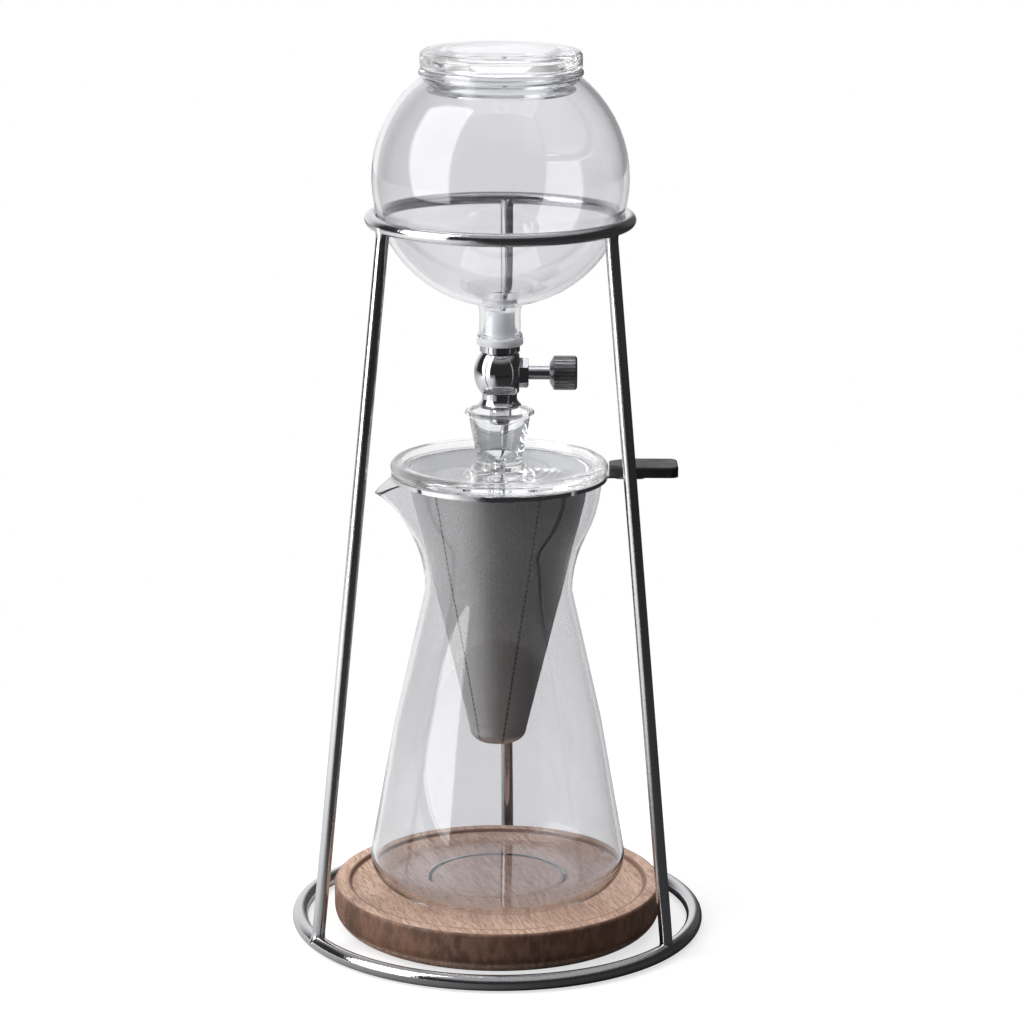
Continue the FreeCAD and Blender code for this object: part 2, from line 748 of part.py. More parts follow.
def make_filter_handle(document):
    """A flat bar with a tapered nose that is hollowed to follow the drip lid."""
    body = new_body(document, "filter_handle")
    hollow = drip_lid_radius + table.handle_gap
    nose = table.nose_width / 2
    half = table.handle_width / 2
    corner = table.handle_corner
    start = square_root(hollow * hollow - nose * nose)
    bar = hollow + table.nose_length
    end = hollow + table.handle_length
    outline = Outline(start, -nose)
    outline.line(bar, -half)
    outline.line(end - corner, -half)
    outline.arc(end, corner - half, corner, "left")
    outline.line(end, half - corner)
    outline.arc(end - corner, half, corner, "left")
    outline.line(bar, half)
    outline.line(start, nose)
    outline.arc(start, -nose, hollow, "right")
    sketch = new_sketch(body, "handle_outline", "XY_Plane")
    draw(sketch, outline)
    push(body, sketch, "handle_bar", table.handle_thickness)
    holes = new_sketch(body, "handle_holes", "XY_Plane")
    for number in range(2):
        draw_circle(holes, screw_place(number), 0, table.screw_diameter / 2 + table.fit_gap)
    depth = table.screw_reach + table.fit_gap
    drilled = push(body, holes, "handle_drilling", depth, cut=True, reverse=True)
    document.recompute()
    top = table.handle_thickness.value
    top_edges = ["Edge%d" % number for number, edge in enumerate(drilled.Shape.Edges, start=1)
                 if edge.BoundBox.ZMin > top - TOLERANCE]
    rounding = body.newObject("PartDesign::Fillet", "handle_edges")
    rounding.Base = (drilled, top_edges)
    rounding.setExpression("Radius", table.handle_edge_round.text)
    body.Tip = rounding
    place(body, up=rim_top + table.steel_gauge)
    return body


def make_handle_screws(document):
    """Two screws, from below through the tab into the handle."""
    body = new_body(document, "handle_screws")
    gauge = table.steel_gauge
    heads = new_sketch(body, "screw_heads_outline", "XY_Plane")
    for number in range(2):
        draw_circle(heads, screw_place(number), 0, table.screw_head_diameter / 2)
    push(body, heads, "screw_heads", table.screw_head_height, reverse=True)
    shanks = new_sketch(body, "screw_shanks_outline", "XY_Plane")
    for number in range(2):
        draw_circle(shanks, screw_place(number), 0, table.screw_diameter / 2)
    push(body, shanks, "screw_shanks", gauge + table.screw_reach)
    place(body, up=rim_top)
    return body


# Drip lid

def make_drip_lid(document):
    """A glass disc with a raised round rim, a drip cup in the middle and a spigot below."""
    body = new_body(document, "drip_lid")
    half_rim = table.lid_rim_height / 2
    rim_inside = drip_lid_radius - table.lid_rim_width
    plate_top = table.lid_plate_rise
    plate_under = plate_top - table.lid_plate
    mouth = cone_top_radius - table.screen_gauge - table.mesh_gap - table.mesh_gauge
    locate = mouth - table.lid_locate_gap
    bore = table.nozzle_bore / 2
    nozzle = table.nozzle_diameter / 2
    foot = table.cup_foot_diameter / 2
    lip_radius = table.cup_rim_diameter / 2
    lip_under = table.cup_height - table.cup_lip_height
    lip_round = table.cup_lip_round
    outline = Outline(bore, -table.nozzle_length)
    outline.line(nozzle, -table.nozzle_length)
    outline.line(nozzle, plate_under)
    outline.line(locate, plate_under)
    outline.line(locate + table.lid_locate_slope, 0)
    outline.line(drip_lid_radius - half_rim, 0)
    outline.arc(drip_lid_radius, half_rim, half_rim, "left")
    outline.arc(drip_lid_radius - half_rim, table.lid_rim_height, half_rim, "left")
    outline.line(rim_inside + table.lid_rim_slope, table.lid_rim_height)
    outline.line(rim_inside, plate_top)
    outline.line(foot + table.cup_foot_flare, plate_top)
    outline.arc(foot, table.cup_foot_height, table.cup_foot_hollow, "right")
    outline.line(lip_radius - table.cup_lip, lip_under)
    outline.arc(lip_radius, table.cup_height - lip_round, table.cup_lip_hollow, "right")
    outline.arc(lip_radius - lip_round, table.cup_height, lip_round, "left")
    outline.line(lip_radius - table.cup_wall, table.cup_height)
    outline.line(foot - table.cup_wall, table.cup_foot_height)
    outline.line(bore, table.cup_floor)
    outline.close()
    turned(body, "drip_lid_form", outline)
    place(body, up=lid_seat)
    return body


# Valve, built about the crossing of its own axis and the spindle's axis

def make_valve_body(document):
    body = new_body(document, "valve_body")
    end = table.barrel_end_diameter / 2
    widest = table.barrel_diameter / 2
    swell = widest - end
    bulge = (barrel_half * barrel_half + swell * swell) / (swell * 2)
    neck = table.waist_neck_diameter / 2
    neck_foot = barrel_half + table.waist_neck_height
    collar = table.collar_diameter / 2
    skirt = table.skirt_diameter / 2
    groove = table.collar_groove
    outline = Outline(0, -valve_skirt)
    outline.line(skirt - table.skirt_chamfer, -valve_skirt)
    outline.line(skirt, table.skirt_edge - valve_skirt)
    outline.arc(neck, -neck_foot, table.skirt_hollow, "right")
    outline.line(neck, -barrel_half)
    outline.line(end, -barrel_half)
    outline.arc(end, barrel_half, bulge, "left")
    outline.line(end - groove, barrel_half + groove / 2)
    outline.line(end - groove, barrel_half + groove)
    outline.line(collar - groove / 2, barrel_half + groove)
    outline.line(collar, barrel_half + groove + groove / 2)
    outline.line(collar, valve_collar)
    outline.line(0, valve_collar)
    outline.close()
    turned(body, "valve_form", outline)

    flat = new_sketch(body, "valve_flat_outline")
    outline = Outline(table.flat_offset, -barrel_half)
    outline.line(table.barrel_diameter, -barrel_half)
    outline.line(table.barrel_diameter, barrel_half)
    outline.line(table.flat_offset, barrel_half)
    outline.close()
    draw(flat, outline)
    push(body, flat, "valve_flat", cut=True, both=True)

    passage = table.passage_diameter / 2
    tail = table.tail_diameter / 2 + table.fit_gap
    tip = table.tip_diameter / 2 + table.fit_gap
    outline = Outline(0, valve_collar)
    outline.line(tail, valve_collar)
    outline.line(tail, valve_collar - table.tail_screwed)
    outline.line(passage, valve_collar - table.tail_screwed)
    outline.line(passage, table.tip_pressed - valve_skirt)
    outline.line(tip, table.tip_pressed - valve_skirt)
    outline.line(tip, -valve_skirt)
    outline.line(0, -valve_skirt)
    outline.close()
    turned(body, "water_passage", outline, cut=True)

    seat = table.seat_diameter / 2 + table.fit_gap
    stem = table.stem_diameter / 2 + table.running_gap
    gland = table.gland_thread_diameter / 2 + table.fit_gap
    outline = Outline(-table.seat_back - table.fit_gap, 0)
    outline.line(-table.seat_back - table.fit_gap, seat)
    outline.line(table.seat_front, seat)
    outline.line(table.seat_front, stem)
    outline.line(table.gland_start - table.fit_gap, stem)
    outline.line(table.gland_start - table.fit_gap, gland)
    outline.line(widest + OVERSHOOT, gland)
    outline.line(widest + OVERSHOOT, 0)
    outline.close()
    turned(body, "spindle_bore", outline, "H_Axis", cut=True)
    place(body, up=valve_axis)
    return body


def make_valve_seat(document):
    """A blind bush across the water passage, which the needle closes from the side."""
    body = new_body(document, "valve_seat")
    outer = table.seat_diameter / 2
    inner = table.needle_diameter / 2 + table.running_gap
    floor = -table.needle_reach - table.passage_diameter / 2
    outline = Outline(-table.seat_back, 0)
    outline.line(-table.seat_back, outer)
    outline.line(table.seat_front, outer)
    outline.line(table.seat_front, inner)
    outline.line(floor, inner)
    outline.line(floor, 0)
    outline.close()
    turned(body, "seat_bush", outline, "H_Axis")
    cross = new_sketch(body, "seat_port_outline", "XY_Plane")
    draw_circle(cross, 0, 0, table.passage_diameter / 2)
    push(body, cross, "seat_port", cut=True, both=True)
    place(body, up=valve_axis)
    return body


def make_valve_spindle(document):
    """Needle, shoulder, seal groove and stem on one axis."""
    body = new_body(document, "valve_spindle")
    needle = table.needle_diameter / 2
    tip = table.needle_tip_diameter / 2
    stem = table.stem_diameter / 2
    groove = table.seal_groove_diameter / 2
    tip_place = -table.needle_reach
    shoulder = table.seat_front + table.seal_side_gap
    groove_start = table.seal_start - table.seal_side_gap
    groove_end = table.seal_start + table.seal_section + table.seal_side_gap
    outline = Outline(tip_place, 0)
    outline.line(tip_place, tip)
    outline.line(tip_place + table.needle_taper, needle)
    outline.line(shoulder, needle)
    outline.line(shoulder, stem)
    outline.line(groove_start, stem)
    outline.line(groove_start, groove)
    outline.line(groove_end, groove)
    outline.line(groove_end, stem)
    outline.line(table.stem_end, stem)
    outline.line(table.stem_end, 0)
    outline.close()
    turned(body, "spindle_form", outline, "H_Axis")
    place(body, up=valve_axis)
    return body


def make_spindle_seal(document):
    body = new_body(document, "spindle_seal")
    section = table.seal_section / 2
    centre = seal_inside + section
    sketch = new_sketch(body, "seal_section_circle")
    draw_circle(sketch, table.seal_start + section, centre, section)
    turn(body, sketch, "seal_ring", "H_Axis")
    place(body, up=valve_axis)
    return body


def hexagon(radius):
    """A hexagon about the origin with a corner at the top."""
    corners = []
    for number in range(HEX_SIDES):
        angle = math.radians(90 + number * 360 / HEX_SIDES)
        across = round(math.cos(angle), 9)
        up = round(math.sin(angle), 9)
        corners.append((radius * across if across else dim(0), radius * up if up else dim(0)))
    outline = Outline(*corners[0])
    for corner in corners[1:]:
        outline.line(*corner)
    return outline.close()


def make_gland_nut(document):
    """A hexagon nut that screws into the valve body and holds the seal's chamber."""
    body = new_body(document, "gland_nut")
    gland = table.gland_thread_diameter / 2
    chamber = seal_inside + table.seal_section + table.running_gap
    stem = table.stem_diameter / 2 + table.running_gap
    start = table.gland_start - table.flat_offset
    end = table.gland_hex_length
    corner = table.gland_hex / 2 / HEX_COSINE
    sketch = new_sketch(body, "gland_hexagon", "YZ_Plane")
    draw(sketch, hexagon(corner))
    push(body, sketch, "gland_head", end)
    outline = Outline(start, 0)
    outline.line(start, gland)
    outline.line(0, gland)
    outline.line(0, 0)
    outline.close()
    turned(body, "gland_thread", outline, "H_Axis")
    outline = Outline(end, corner - table.gland_bevel * HEX_COSINE * 2)
    outline.line(end, corner + OVERSHOOT)
    outline.line(end - table.gland_bevel, corner + OVERSHOOT)
    outline.line(end - table.gland_bevel, corner)
    outline.close()
    turned(body, "gland_bevel", outline, "H_Axis", cut=True)
    outline = Outline(start - OVERSHOOT, 0)
    outline.line(start - OVERSHOOT, chamber)
    outline.line(end - table.gland_lip, chamber)
    outline.line(end - table.gland_lip, stem)
    outline.line(end + OVERSHOOT, stem)
    outline.line(end + OVERSHOOT, 0)
    outline.close()
    turned(body, "gland_bore", outline, "H_Axis", cut=True)
    place(body, across=table.flat_offset, up=valve_axis)
    return body


def make_valve_knob(document):
    """A ridged knob with a coned inner side, bored for the spindle and its grub screw."""
    body = new_body(document, "valve_knob")
    radius = table.knob_diameter / 2
    stem = table.stem_diameter / 2 + table.fit_gap
    depth = table.stem_end - table.knob_start + table.fit_gap
    outline = Outline(0, stem)
    outline.line(0, table.knob_boss_diameter / 2)
    outline.line(table.knob_shoulder, radius)
    outline.line(table.knob_length - table.knob_chamfer, radius)
    outline.line(table.knob_length, radius - table.knob_chamfer)
    outline.line(table.knob_length, 0)
    outline.line(depth, 0)
    outline.line(depth, stem)
    outline.close()
    turned(body, "knob_form", outline, "H_Axis")

    groove = new_sketch(body, "ridge_outline", "YZ_Plane")
    half = table.ridge_width / 2
    outline = Outline(-half, radius + table.ridge_depth)
    outline.line(0, radius - table.ridge_depth)
    outline.line(half, radius + table.ridge_depth)
    outline.close()
    draw(groove, outline)
    first = push(body, groove, "ridge_groove", cut=True, reverse=True)
    pattern = body.newObject("PartDesign::PolarPattern", "ridges")
    pattern.Originals = [first]
    axis = [item for item in body.Origin.OriginFeatures if item.Role == "X_Axis"][0]
    pattern.Axis = (axis, [""])
    pattern.Angle = 360
    pattern.Occurrences = KNOB_RIDGES
    body.Tip = pattern

    hole = new_sketch(body, "grub_hole_outline", "XZ_Plane")
    draw_circle(hole, table.grub_place, 0, table.grub_diameter / 2 + table.fit_gap)
    push(body, hole, "grub_hole", radius + OVERSHOOT, cut=True)
    place(body, across=table.knob_start, up=valve_axis)
    return body


def make_knob_screw(document):
    """A grub screw, on the side of the knob that faces away."""
    body = new_body(document, "knob_screw")
    start = table.stem_diameter / 2 + table.fit_gap
    length = table.knob_diameter / 2 - table.grub_sunk - start
    sketch = new_sketch(body, "grub_outline", "XZ_Plane")
    draw_circle(sketch, 0, 0, table.grub_diameter / 2)
    push(body, sketch, "grub", length, reverse=True)
    place(body, across=table.knob_start + table.grub_place, up=valve_axis)
    body.setExpression("Placement.Base.y", start.text)
    return body


def make_drip_tip(document):
    body = new_body(document, "drip_tip")
    radius = table.tip_diameter / 2
    bore = table.tip_bore / 2
    ring = table.tip_ring_height
    groove = table.tip_groove_depth
    outline = Outline(bore, -table.tip_reach)
    outline.line(radius - groove, -table.tip_reach)
    outline.line(radius, groove - table.tip_reach)
    outline.line(radius, ring - table.tip_reach)
    outline.line(radius - groove, ring + groove - table.tip_reach)
    outline.line(radius, ring + groove * 2 - table.tip_reach)
    outline.line(radius, table.tip_pressed)
    outline.line(bore, table.tip_pressed)
    outline.close()
    turned(body, "drip_tip_form", outline)
    place(body, up=valve_axis - valve_skirt)
    return body


def make_inlet_tail(document):
    body = new_body(document, "inlet_tail")
    radius = table.tail_diameter / 2
    bore = table.tail_bore / 2
    top = table.bung_flange + table.bung_length - table.tail_recess
    chamfer = table.tail_chamfer
    outline = Outline(bore, -table.tail_screwed)
    outline.line(radius, -table.tail_screwed)
    outline.line(radius, top - chamfer)
    outline.line(radius - chamfer, top)
    outline.line(bore, top)
    outline.close()
    turned(body, "inlet_tail_form", outline)
    place(body, up=bung_seat)
    return body


# Stopper, tank and tank lid

def make_outlet_bung(document):
    body = new_body(document, "outlet_bung")
    flange = table.bung_flange_diameter / 2
    bore = table.tail_diameter / 2 + table.fit_gap
    plug = outlet_inner - table.fit_gap
    top = table.bung_flange + table.bung_length
    soft = table.bung_round
    outline = Outline(bore, 0)
    outline.line(flange - soft, 0)
    outline.arc(flange, soft, soft, "left")
    outline.line(flange, table.bung_flange - soft)
    outline.arc(flange - soft, table.bung_flange, soft, "left")
    outline.line(plug, table.bung_flange)
    outline.line(plug - table.bung_taper, top)
    outline.line(bore, top)
    outline.close()
    turned(body, "bung_form", outline)
    place(body, up=bung_seat)
    return body


def make_tank_globe(document):
    """A globe of even wall with a beaded mouth above and an outlet tube below."""
    body = new_body(document, "tank_globe")
    wall = table.glass_wall
    inner = globe_radius - wall
    tube = table.outlet_diameter / 2
    bend = table.outlet_round
    bend_across = tube + bend
    reach = globe_radius + bend
    bend_up = square_root(reach * reach - bend_across * bend_across)
    neck = table.neck_diameter / 2
    neck_up = square_root(globe_radius * globe_radius - neck * neck)
    mouth = table.mouth_diameter / 2
    mouth_up = square_root(inner * inner - mouth * mouth)
    bead = (table.mouth_height - neck_up) / 2 * BEAD_FULLNESS
    lip = tube + table.outlet_lip
    lip_top = table.outlet_lip_height - table.outlet_drop
    joined = globe_radius / reach
    inner_joined = inner / reach
    outline = Outline(outlet_inner, -table.outlet_drop)
    outline.line(lip, -table.outlet_drop)
    outline.line(lip, lip_top - table.outlet_lip)
    outline.line(tube, lip_top)
    outline.line(tube, -bend_up)
    outline.arc(bend_across * joined, -bend_up * joined, bend, "right")
    outline.arc(globe_radius, 0, globe_radius, "left")
    outline.arc(neck, neck_up, globe_radius, "left")
    outline.arc(neck, table.mouth_height, bead, "left")
    outline.line(mouth, table.mouth_height)
    outline.line(mouth, mouth_up)
    outline.arc(inner, 0, inner, "right")
    outline.arc(bend_across * inner_joined, -bend_up * inner_joined, inner, "right")
    outline.arc(outlet_inner, -bend_up, bend + wall, "left")
    outline.close()
    turned(body, "globe_form", outline)
    place(body, up=globe_centre)
    return body


def make_tank_lid(document):
    """A domed glass lid with a hollow plug skirt."""
    body = new_body(document, "tank_lid")
    radius = table.tank_lid_diameter / 2
    edge = table.tank_lid_edge
    rounding = table.tank_lid_round
    lower = table.tank_lid_lower_round
    plug = table.plug_diameter / 2
    hollow = plug - table.plug_wall
    shoulder = radius - rounding
    dome = table.tank_lid_dome
    crown = (shoulder * shoulder + dome * dome) / (dome * 2)
    outline = Outline(0, edge + dome)
    outline.line(0, table.plug_hollow)
    outline.line(hollow - table.plug_wall, table.plug_hollow)
    outline.line(hollow, table.plug_hollow - table.plug_wall)
    outline.line(hollow, -table.plug_depth)
    outline.line(plug, -table.plug_depth)
    outline.line(plug, 0)
    outline.line(radius - lower, 0)
    outline.arc(radius, lower, lower, "left")
    outline.line(radius, edge - rounding)
    outline.arc(shoulder, edge, rounding, "left")
    outline.arc(0, edge + dome, crown, "left")
    turned(body, "tank_lid_form", outline)
    place(body, up=lid_height)
    return body


def make_lid_seal(document):
    """A ribbed silicone ring on the plug skirt."""
    body = new_body(document, "lid_seal")
    inner = table.plug_diameter / 2 + table.fit_gap
    outer = table.mouth_diameter / 2 - table.lid_seal_gap
    top = -table.seal_inset
    bottom = table.seal_inset - table.plug_depth
    pitch = (top - bottom) / SEAL_RIBS
    outline = Outline(inner, bottom)
    for number in range(SEAL_RIBS):
        start = bottom + pitch * number
        outline.line(outer - table.seal_rib, start)
        outline.line(outer, start + pitch * RIB_SLOPE)
        outline.line(outer, start + pitch * (1 - RIB_SLOPE))
    outline.line(outer - table.seal_rib, top)
    outline.line(inner, top)
    outline.close()
    turned(body, "lid_seal_form", outline)
    place(body, up=lid_height)
    return body


def build(document):
    fill_sheet(document)
    depth = table.filter_depth - table.cap_height
    pieces = [
        make_hoop(document, "base_ring", base_centre, base_rod, base_rod),
        make_hoop(document, "top_ring", ring_centre, frame_rod, ring_height),
        *[make_leg(document, name, azimuth) for name, azimuth in LEG_ANGLES.items()],
        make_coaster(document),
        make_carafe(document),
        make_cone(document, "filter_screen", dim(0), table.screen_gauge, depth),
        make_cone(document, "filter_mesh", table.screen_gauge + table.mesh_gap,
                  table.mesh_gauge, depth),
        make_filter_cap(document),
        make_filter_rim(document),
        make_filter_handle(document),
        make_handle_screws(document),
        make_drip_lid(document),
        make_valve_body(document),
        make_valve_seat(document),
        make_valve_spindle(document),
        make_spindle_seal(document),
        make_gland_nut(document),
        make_valve_knob(document),
        make_knob_screw(document),
        make_drip_tip(document),
        make_inlet_tail(document),
        make_outlet_bung(document),
        make_tank_globe(document),
        make_tank_lid(document),
        make_lid_seal(document),
    ]
    document.recompute()
    return pieces


def check(document, pieces):
    for item in document.Objects:
        if "Invalid" in item.State or "Error" in item.State:
            raise RuntimeError("%s did not build: %s" % (item.Name, item.State))
    for piece in pieces:
        if piece.Shape.isNull() or not piece.Shape.isValid():
            raise RuntimeError("%s has no valid shape" % piece.Label)


def main():
    document = FreeCAD.newDocument("cold_drip_tower")
    pieces = build(document)
    check(document, pieces)
    os.makedirs("parts", exist_ok=True)
    for piece in pieces:
        piece.Shape.exportStep("parts/%s.step" % piece.Label)
        print("%-18s solids %d  volume %.2f" % (piece.Label, len(piece.Shape.Solids),
                                                piece.Shape.Volume))


main()
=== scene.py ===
"""Looks of a cold drip coffee tower, laid out as a Blender add-on and run as a script.

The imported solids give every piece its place. Each operator below shapes one group of pieces in
metres, with +Z up, +X along the valve's knob and -Y to the front.
"""

import math

import bmesh
import bpy
from mathutils import Matrix, Vector


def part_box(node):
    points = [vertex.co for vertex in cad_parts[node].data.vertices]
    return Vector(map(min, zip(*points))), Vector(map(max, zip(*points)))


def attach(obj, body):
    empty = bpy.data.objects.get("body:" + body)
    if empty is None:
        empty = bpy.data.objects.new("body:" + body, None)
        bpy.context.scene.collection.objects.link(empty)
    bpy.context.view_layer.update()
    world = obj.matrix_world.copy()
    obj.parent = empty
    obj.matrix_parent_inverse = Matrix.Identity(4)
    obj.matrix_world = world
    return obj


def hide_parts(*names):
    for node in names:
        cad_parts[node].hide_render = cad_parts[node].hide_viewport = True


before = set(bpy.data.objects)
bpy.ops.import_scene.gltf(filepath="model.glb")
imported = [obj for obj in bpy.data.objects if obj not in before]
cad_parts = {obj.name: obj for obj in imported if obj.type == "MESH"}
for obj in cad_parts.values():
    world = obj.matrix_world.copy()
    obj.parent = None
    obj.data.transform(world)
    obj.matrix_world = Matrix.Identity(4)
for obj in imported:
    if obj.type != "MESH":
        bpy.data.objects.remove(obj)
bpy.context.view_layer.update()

bl_info = {
    "name": "Cold Drip Coffee Tower",
    "version": (1, 0, 0),
    "blender": (4, 5, 0),
    "location": "View3D > Sidebar > Drip Tower",
    "description": "Builds the glass, steel and wood of a cold drip coffee tower",
    "category": "Object",
}

# Shapes, in metres
FULL_TURN = math.tau
ARC_STEP = math.radians(6)  # longest piece of an arc
SHARP = math.radians(28)  # edges that turn by more than this stay crisp
WELDED = 1e-7  # points closer than this are one point
HAIRLINE = 0.00005  # left between pieces that rest on each other
EDGE_ROUND = 0.0004  # bevel of glass and wood
LID_EDGE_ROUND = 0.0005
BEVEL_STEPS = 3
TURNED_STEPS = 192  # steps round most turned pieces
FINE_STEPS = 256  # steps round the largest ones
LEG_STEPS = 40
ROD_SIDES = 32
LEVEL = 0.7  # faces whose normal is steeper than this lie flat
BEAD_SPARE = 1.01  # keeps the bead's arc just larger than half its height

# Patterns: noise scales per metre, lengths in metres
MESH_WIRES = 400  # wires round the fine mesh
MESH_PITCH = 0.0004  # from one ring of wire to the next
HOLE_SIZE = 0.26  # radius of an etched hole, as a share of the pitch
HOLE_EDGE = 0.12
WELD_PITCH = 0.0011  # half the way from one spot weld to the next
GLASS_WAVES = 35
GRAIN_LINES = 820
WOOD_PORES = 2200
WOOD_CLOUDS = 45
SIDE_MOTTLES = 330
MARK_RELIEF = 0.0002
SHEET_RELIEF = 0.0001
WAVE_RELIEF = 0.002
WOOD_RELIEF = 0.0004
LAMP_TINT = 0.2  # power of a glass's tint that a lamp's light takes on
MARKS_PER_PATCH = 14  # rubbing marks across one patch of polish
GLASS_IOR = 1.5
SILICONE_IOR = 1.41

# Stage, in metres and degrees
IMAGE_WIDTH = 1024  # pixels
FOCAL_PIXELS = 3704.3  # focal length in pixels of that image
SENSOR_WIDTH = 36  # millimetres
CAMERA_PLACE = (0, -1.37067, 0.50245)
CAMERA_PITCH = 13.864  # down
CAMERA_YAW = 0.205  # to the right
CAMERA_ROLL = 0.306
FLOOR_RADIUS = 2.5
FLOOR_GAP = 0.0002  # between the table and the tower
LIT_SIDE = (-0.94, 0.34, 0)  # way from the tower to the part of the table painted lit, as mirrors see it
LIT_FROM, LIT_TO = -0.06, 0.14  # along that way the painted light on the table grows
WHITE_FROM, WHITE_TO = 0.1, 0.4  # from the axis the table turns white
NEAR_GLOW = 1.35  # what the table gives off close by, to even out its shade
WALLS = 3  # surfaces of glass on the way to a mirroring inner wall
MIRRORED_WHITE = 0.35  # how white the background looks in such a wall
# How light the mirrored room is in front, at the back on the right and left, and above
FRONT_LIGHT, DARK_BACK, PALE_BACK, CEILING = 0.04, 0.12, 1.0, 0.5
MAX_BOUNCES, MIRROR_BOUNCES, GLASS_BOUNCES = 40, 28, 24  # thick glass needs many
# Place, facing, tilt, width, height, radiance, and whether surfaces mirror the lamp
LAMPS = {
    "Left softbox": ((-0.756, -0.21, 0.54), -42.7, 30.6, 0.742, 1.19, 3.5, True),
    "Right softbox": ((1.05, -0.5, 0.42), 62, 0, 0.7, 0.8, 0.4, False),
    "Top light": ((0, 0.1, 1.5), 0, 90, 1.2, 1.2, 1.75, False),
}

# Name, colour, smoothest and roughest polish, patches per metre, depth of the marks
METALS = {
    "steel": ("Polished steel", "steel", 0.05, 0.17, 55, 0.25),
    "chrome": ("Valve plating", "chrome", 0.04, 0.1, 90, 0.03),
    "dark_metal": ("Knob metal", "knob", 0.26, 0.4, 240, 0.15),
    "screw_metal": ("Screw steel", "steel", 0.2, 0.35, 300, 0.1),
}
# Name, colour, tint left at the edge, where the edge starts, depth of the waves
GLASSES = {
    "globe": ("Globe glass", "globe", 0.7, 0.9, 0.05),
    "carafe": ("Carafe glass", "carafe", 0.8, 0.92, 0.05),
    "pressed": ("Pressed glass", "pressed", 0.8, 0.92, 0.06),
}
# Name, colour, clearness, roughness
SILICONES = {
    "seal": ("Clear seal", "seal", 1, 0.05),
    "silicone": ("Stopper silicone", "silicone", 0.4, 0.35),
}
# Name, colour, smoothest and roughest grain, depth of the grain
PLASTICS = {
    "plastic": ("Handle plastic", "plastic", 0.38, 0.5, 0.25),
    "bush": ("Valve bush", "bush", 0.4, 0.5, 0.1),
    "rubber": ("O-ring rubber", "rubber", 0.45, 0.6, 0.15),
}
# Solids that are shown as they are, by finish
KEPT_SOLIDS = {
    "mesh": ("filter_mesh",),
    "steel": ("filter_rim",),
    "plastic": ("filter_handle",),
    "screw_metal": ("handle_screws", "knob_screw"),
    "chrome": ("valve_body", "valve_spindle", "gland_nut", "drip_tip", "inlet_tail"),
    "dark_metal": ("valve_knob",),
    "bush": ("valve_seat",),
    "rubber": ("spindle_seal",),
    "silicone": ("outlet_bung",),
    "seal": ("lid_seal",),
}


# Sizes and colours that a user would change

def length(name, millimetres, description):
    return bpy.props.FloatProperty(
        name=name, description=description, default=millimetres / 1000, min=0,
        unit="LENGTH", subtype="DISTANCE", precision=5)


def angle(name, degrees, description):
    return bpy.props.FloatProperty(
        name=name, description=description, default=math.radians(degrees),
        unit="ROTATION", subtype="ANGLE")


def colour(name, red, green, blue, description):
    return bpy.props.FloatVectorProperty(
        name=name, description=description, default=(red, green, blue, 1), size=4,
        min=0, max=1, subtype="COLOR")


class StandSizes(bpy.types.PropertyGroup):
    base_rod: length("Base rod", 3.0, "Radius of the rod of the base hoop")
    frame_rod: length("Frame rod", 2.5, "Radius of the rod of the legs and the top hoop")
    weld_width: length("Weld width", 0.8, "How far a weld stands out from a leg")
    weld_length: length("Weld length", 3.4, "Length of a weld along a leg")
    leg_turn: angle("Leg turn", 3, "How far the legs are turned, seen from above")
    coaster_lower: length("Coaster lower round", 8.0, "Round of the coaster's lower edge")
    coaster_upper: length("Coaster upper round", 1.2, "Round of the coaster's upper edge")
    recess_radius: length("Recess radius", 57.4, "Shallow recess in the coaster")
    recess_depth: length("Recess depth", 1.2, "Shallow recess in the coaster")
    grain_turn: angle("Grain turn", 17, "Way of the grain, from the back to the left")


class CarafeSizes(bpy.types.PropertyGroup):
    wall: length("Wall", 1.7, "Glass of the side")
    floor: length("Floor", 3.0, "Glass under the coffee")
    floor_dome: length("Floor dome", 0.9, "Rise of the middle of the floor")
    belly_round: length("Belly round", 12.0, "Round between foot and belly")
    belly_bow: length("Side bow", 1100.0, "Radius of the slightly bowed side")
    waist_radius: length("Waist", 28.1, "Narrowest part")
    waist_height: length("Waist height", 118.0, "Narrowest part above the foot")
    rim_radius: length("Mouth", 39.0, "Mouth of the funnel")
    punt_radius: length("Punt", 28.0, "Hollow under the foot")
    punt_slope: length("Punt slope", 3.6, "Sloped edge of the hollow")
    punt_depth: length("Punt depth", 1.2, "Hollow under the foot")
    spout_reach: length("Spout reach", 8.8, "How far the lip of the spout stands out")
    spout_drop: length("Spout drop", 7.2, "How far the lip of the spout hangs")
    spout_depth: length("Spout depth", 22.0, "How far down the spout is pulled")
    spout_spread: angle("Spout spread", 15, "Half width of the spout, round the mouth")


class FilterSizes(bpy.types.PropertyGroup):
    screen_gauge: length("Screen", 0.5, "Outer etched screen")
    cap_round: length("Cap round", 5.0, "Round of the closed end")
    hole_pitch: length("Hole pitch", 0.64, "From one etched hole to the next")
    seam_width: length("Seam", 1.6, "Dark line of a lapped seam")
    left_seam: angle("Left seam", -10.0, "Where the straight seam lies on the flat sheet")
    right_seam: angle("Right seam", 7.57, "Slant of the other seam on the flat sheet")
    right_seam_offset: length("Right seam offset", 3.97, "Its distance from the cone's point")


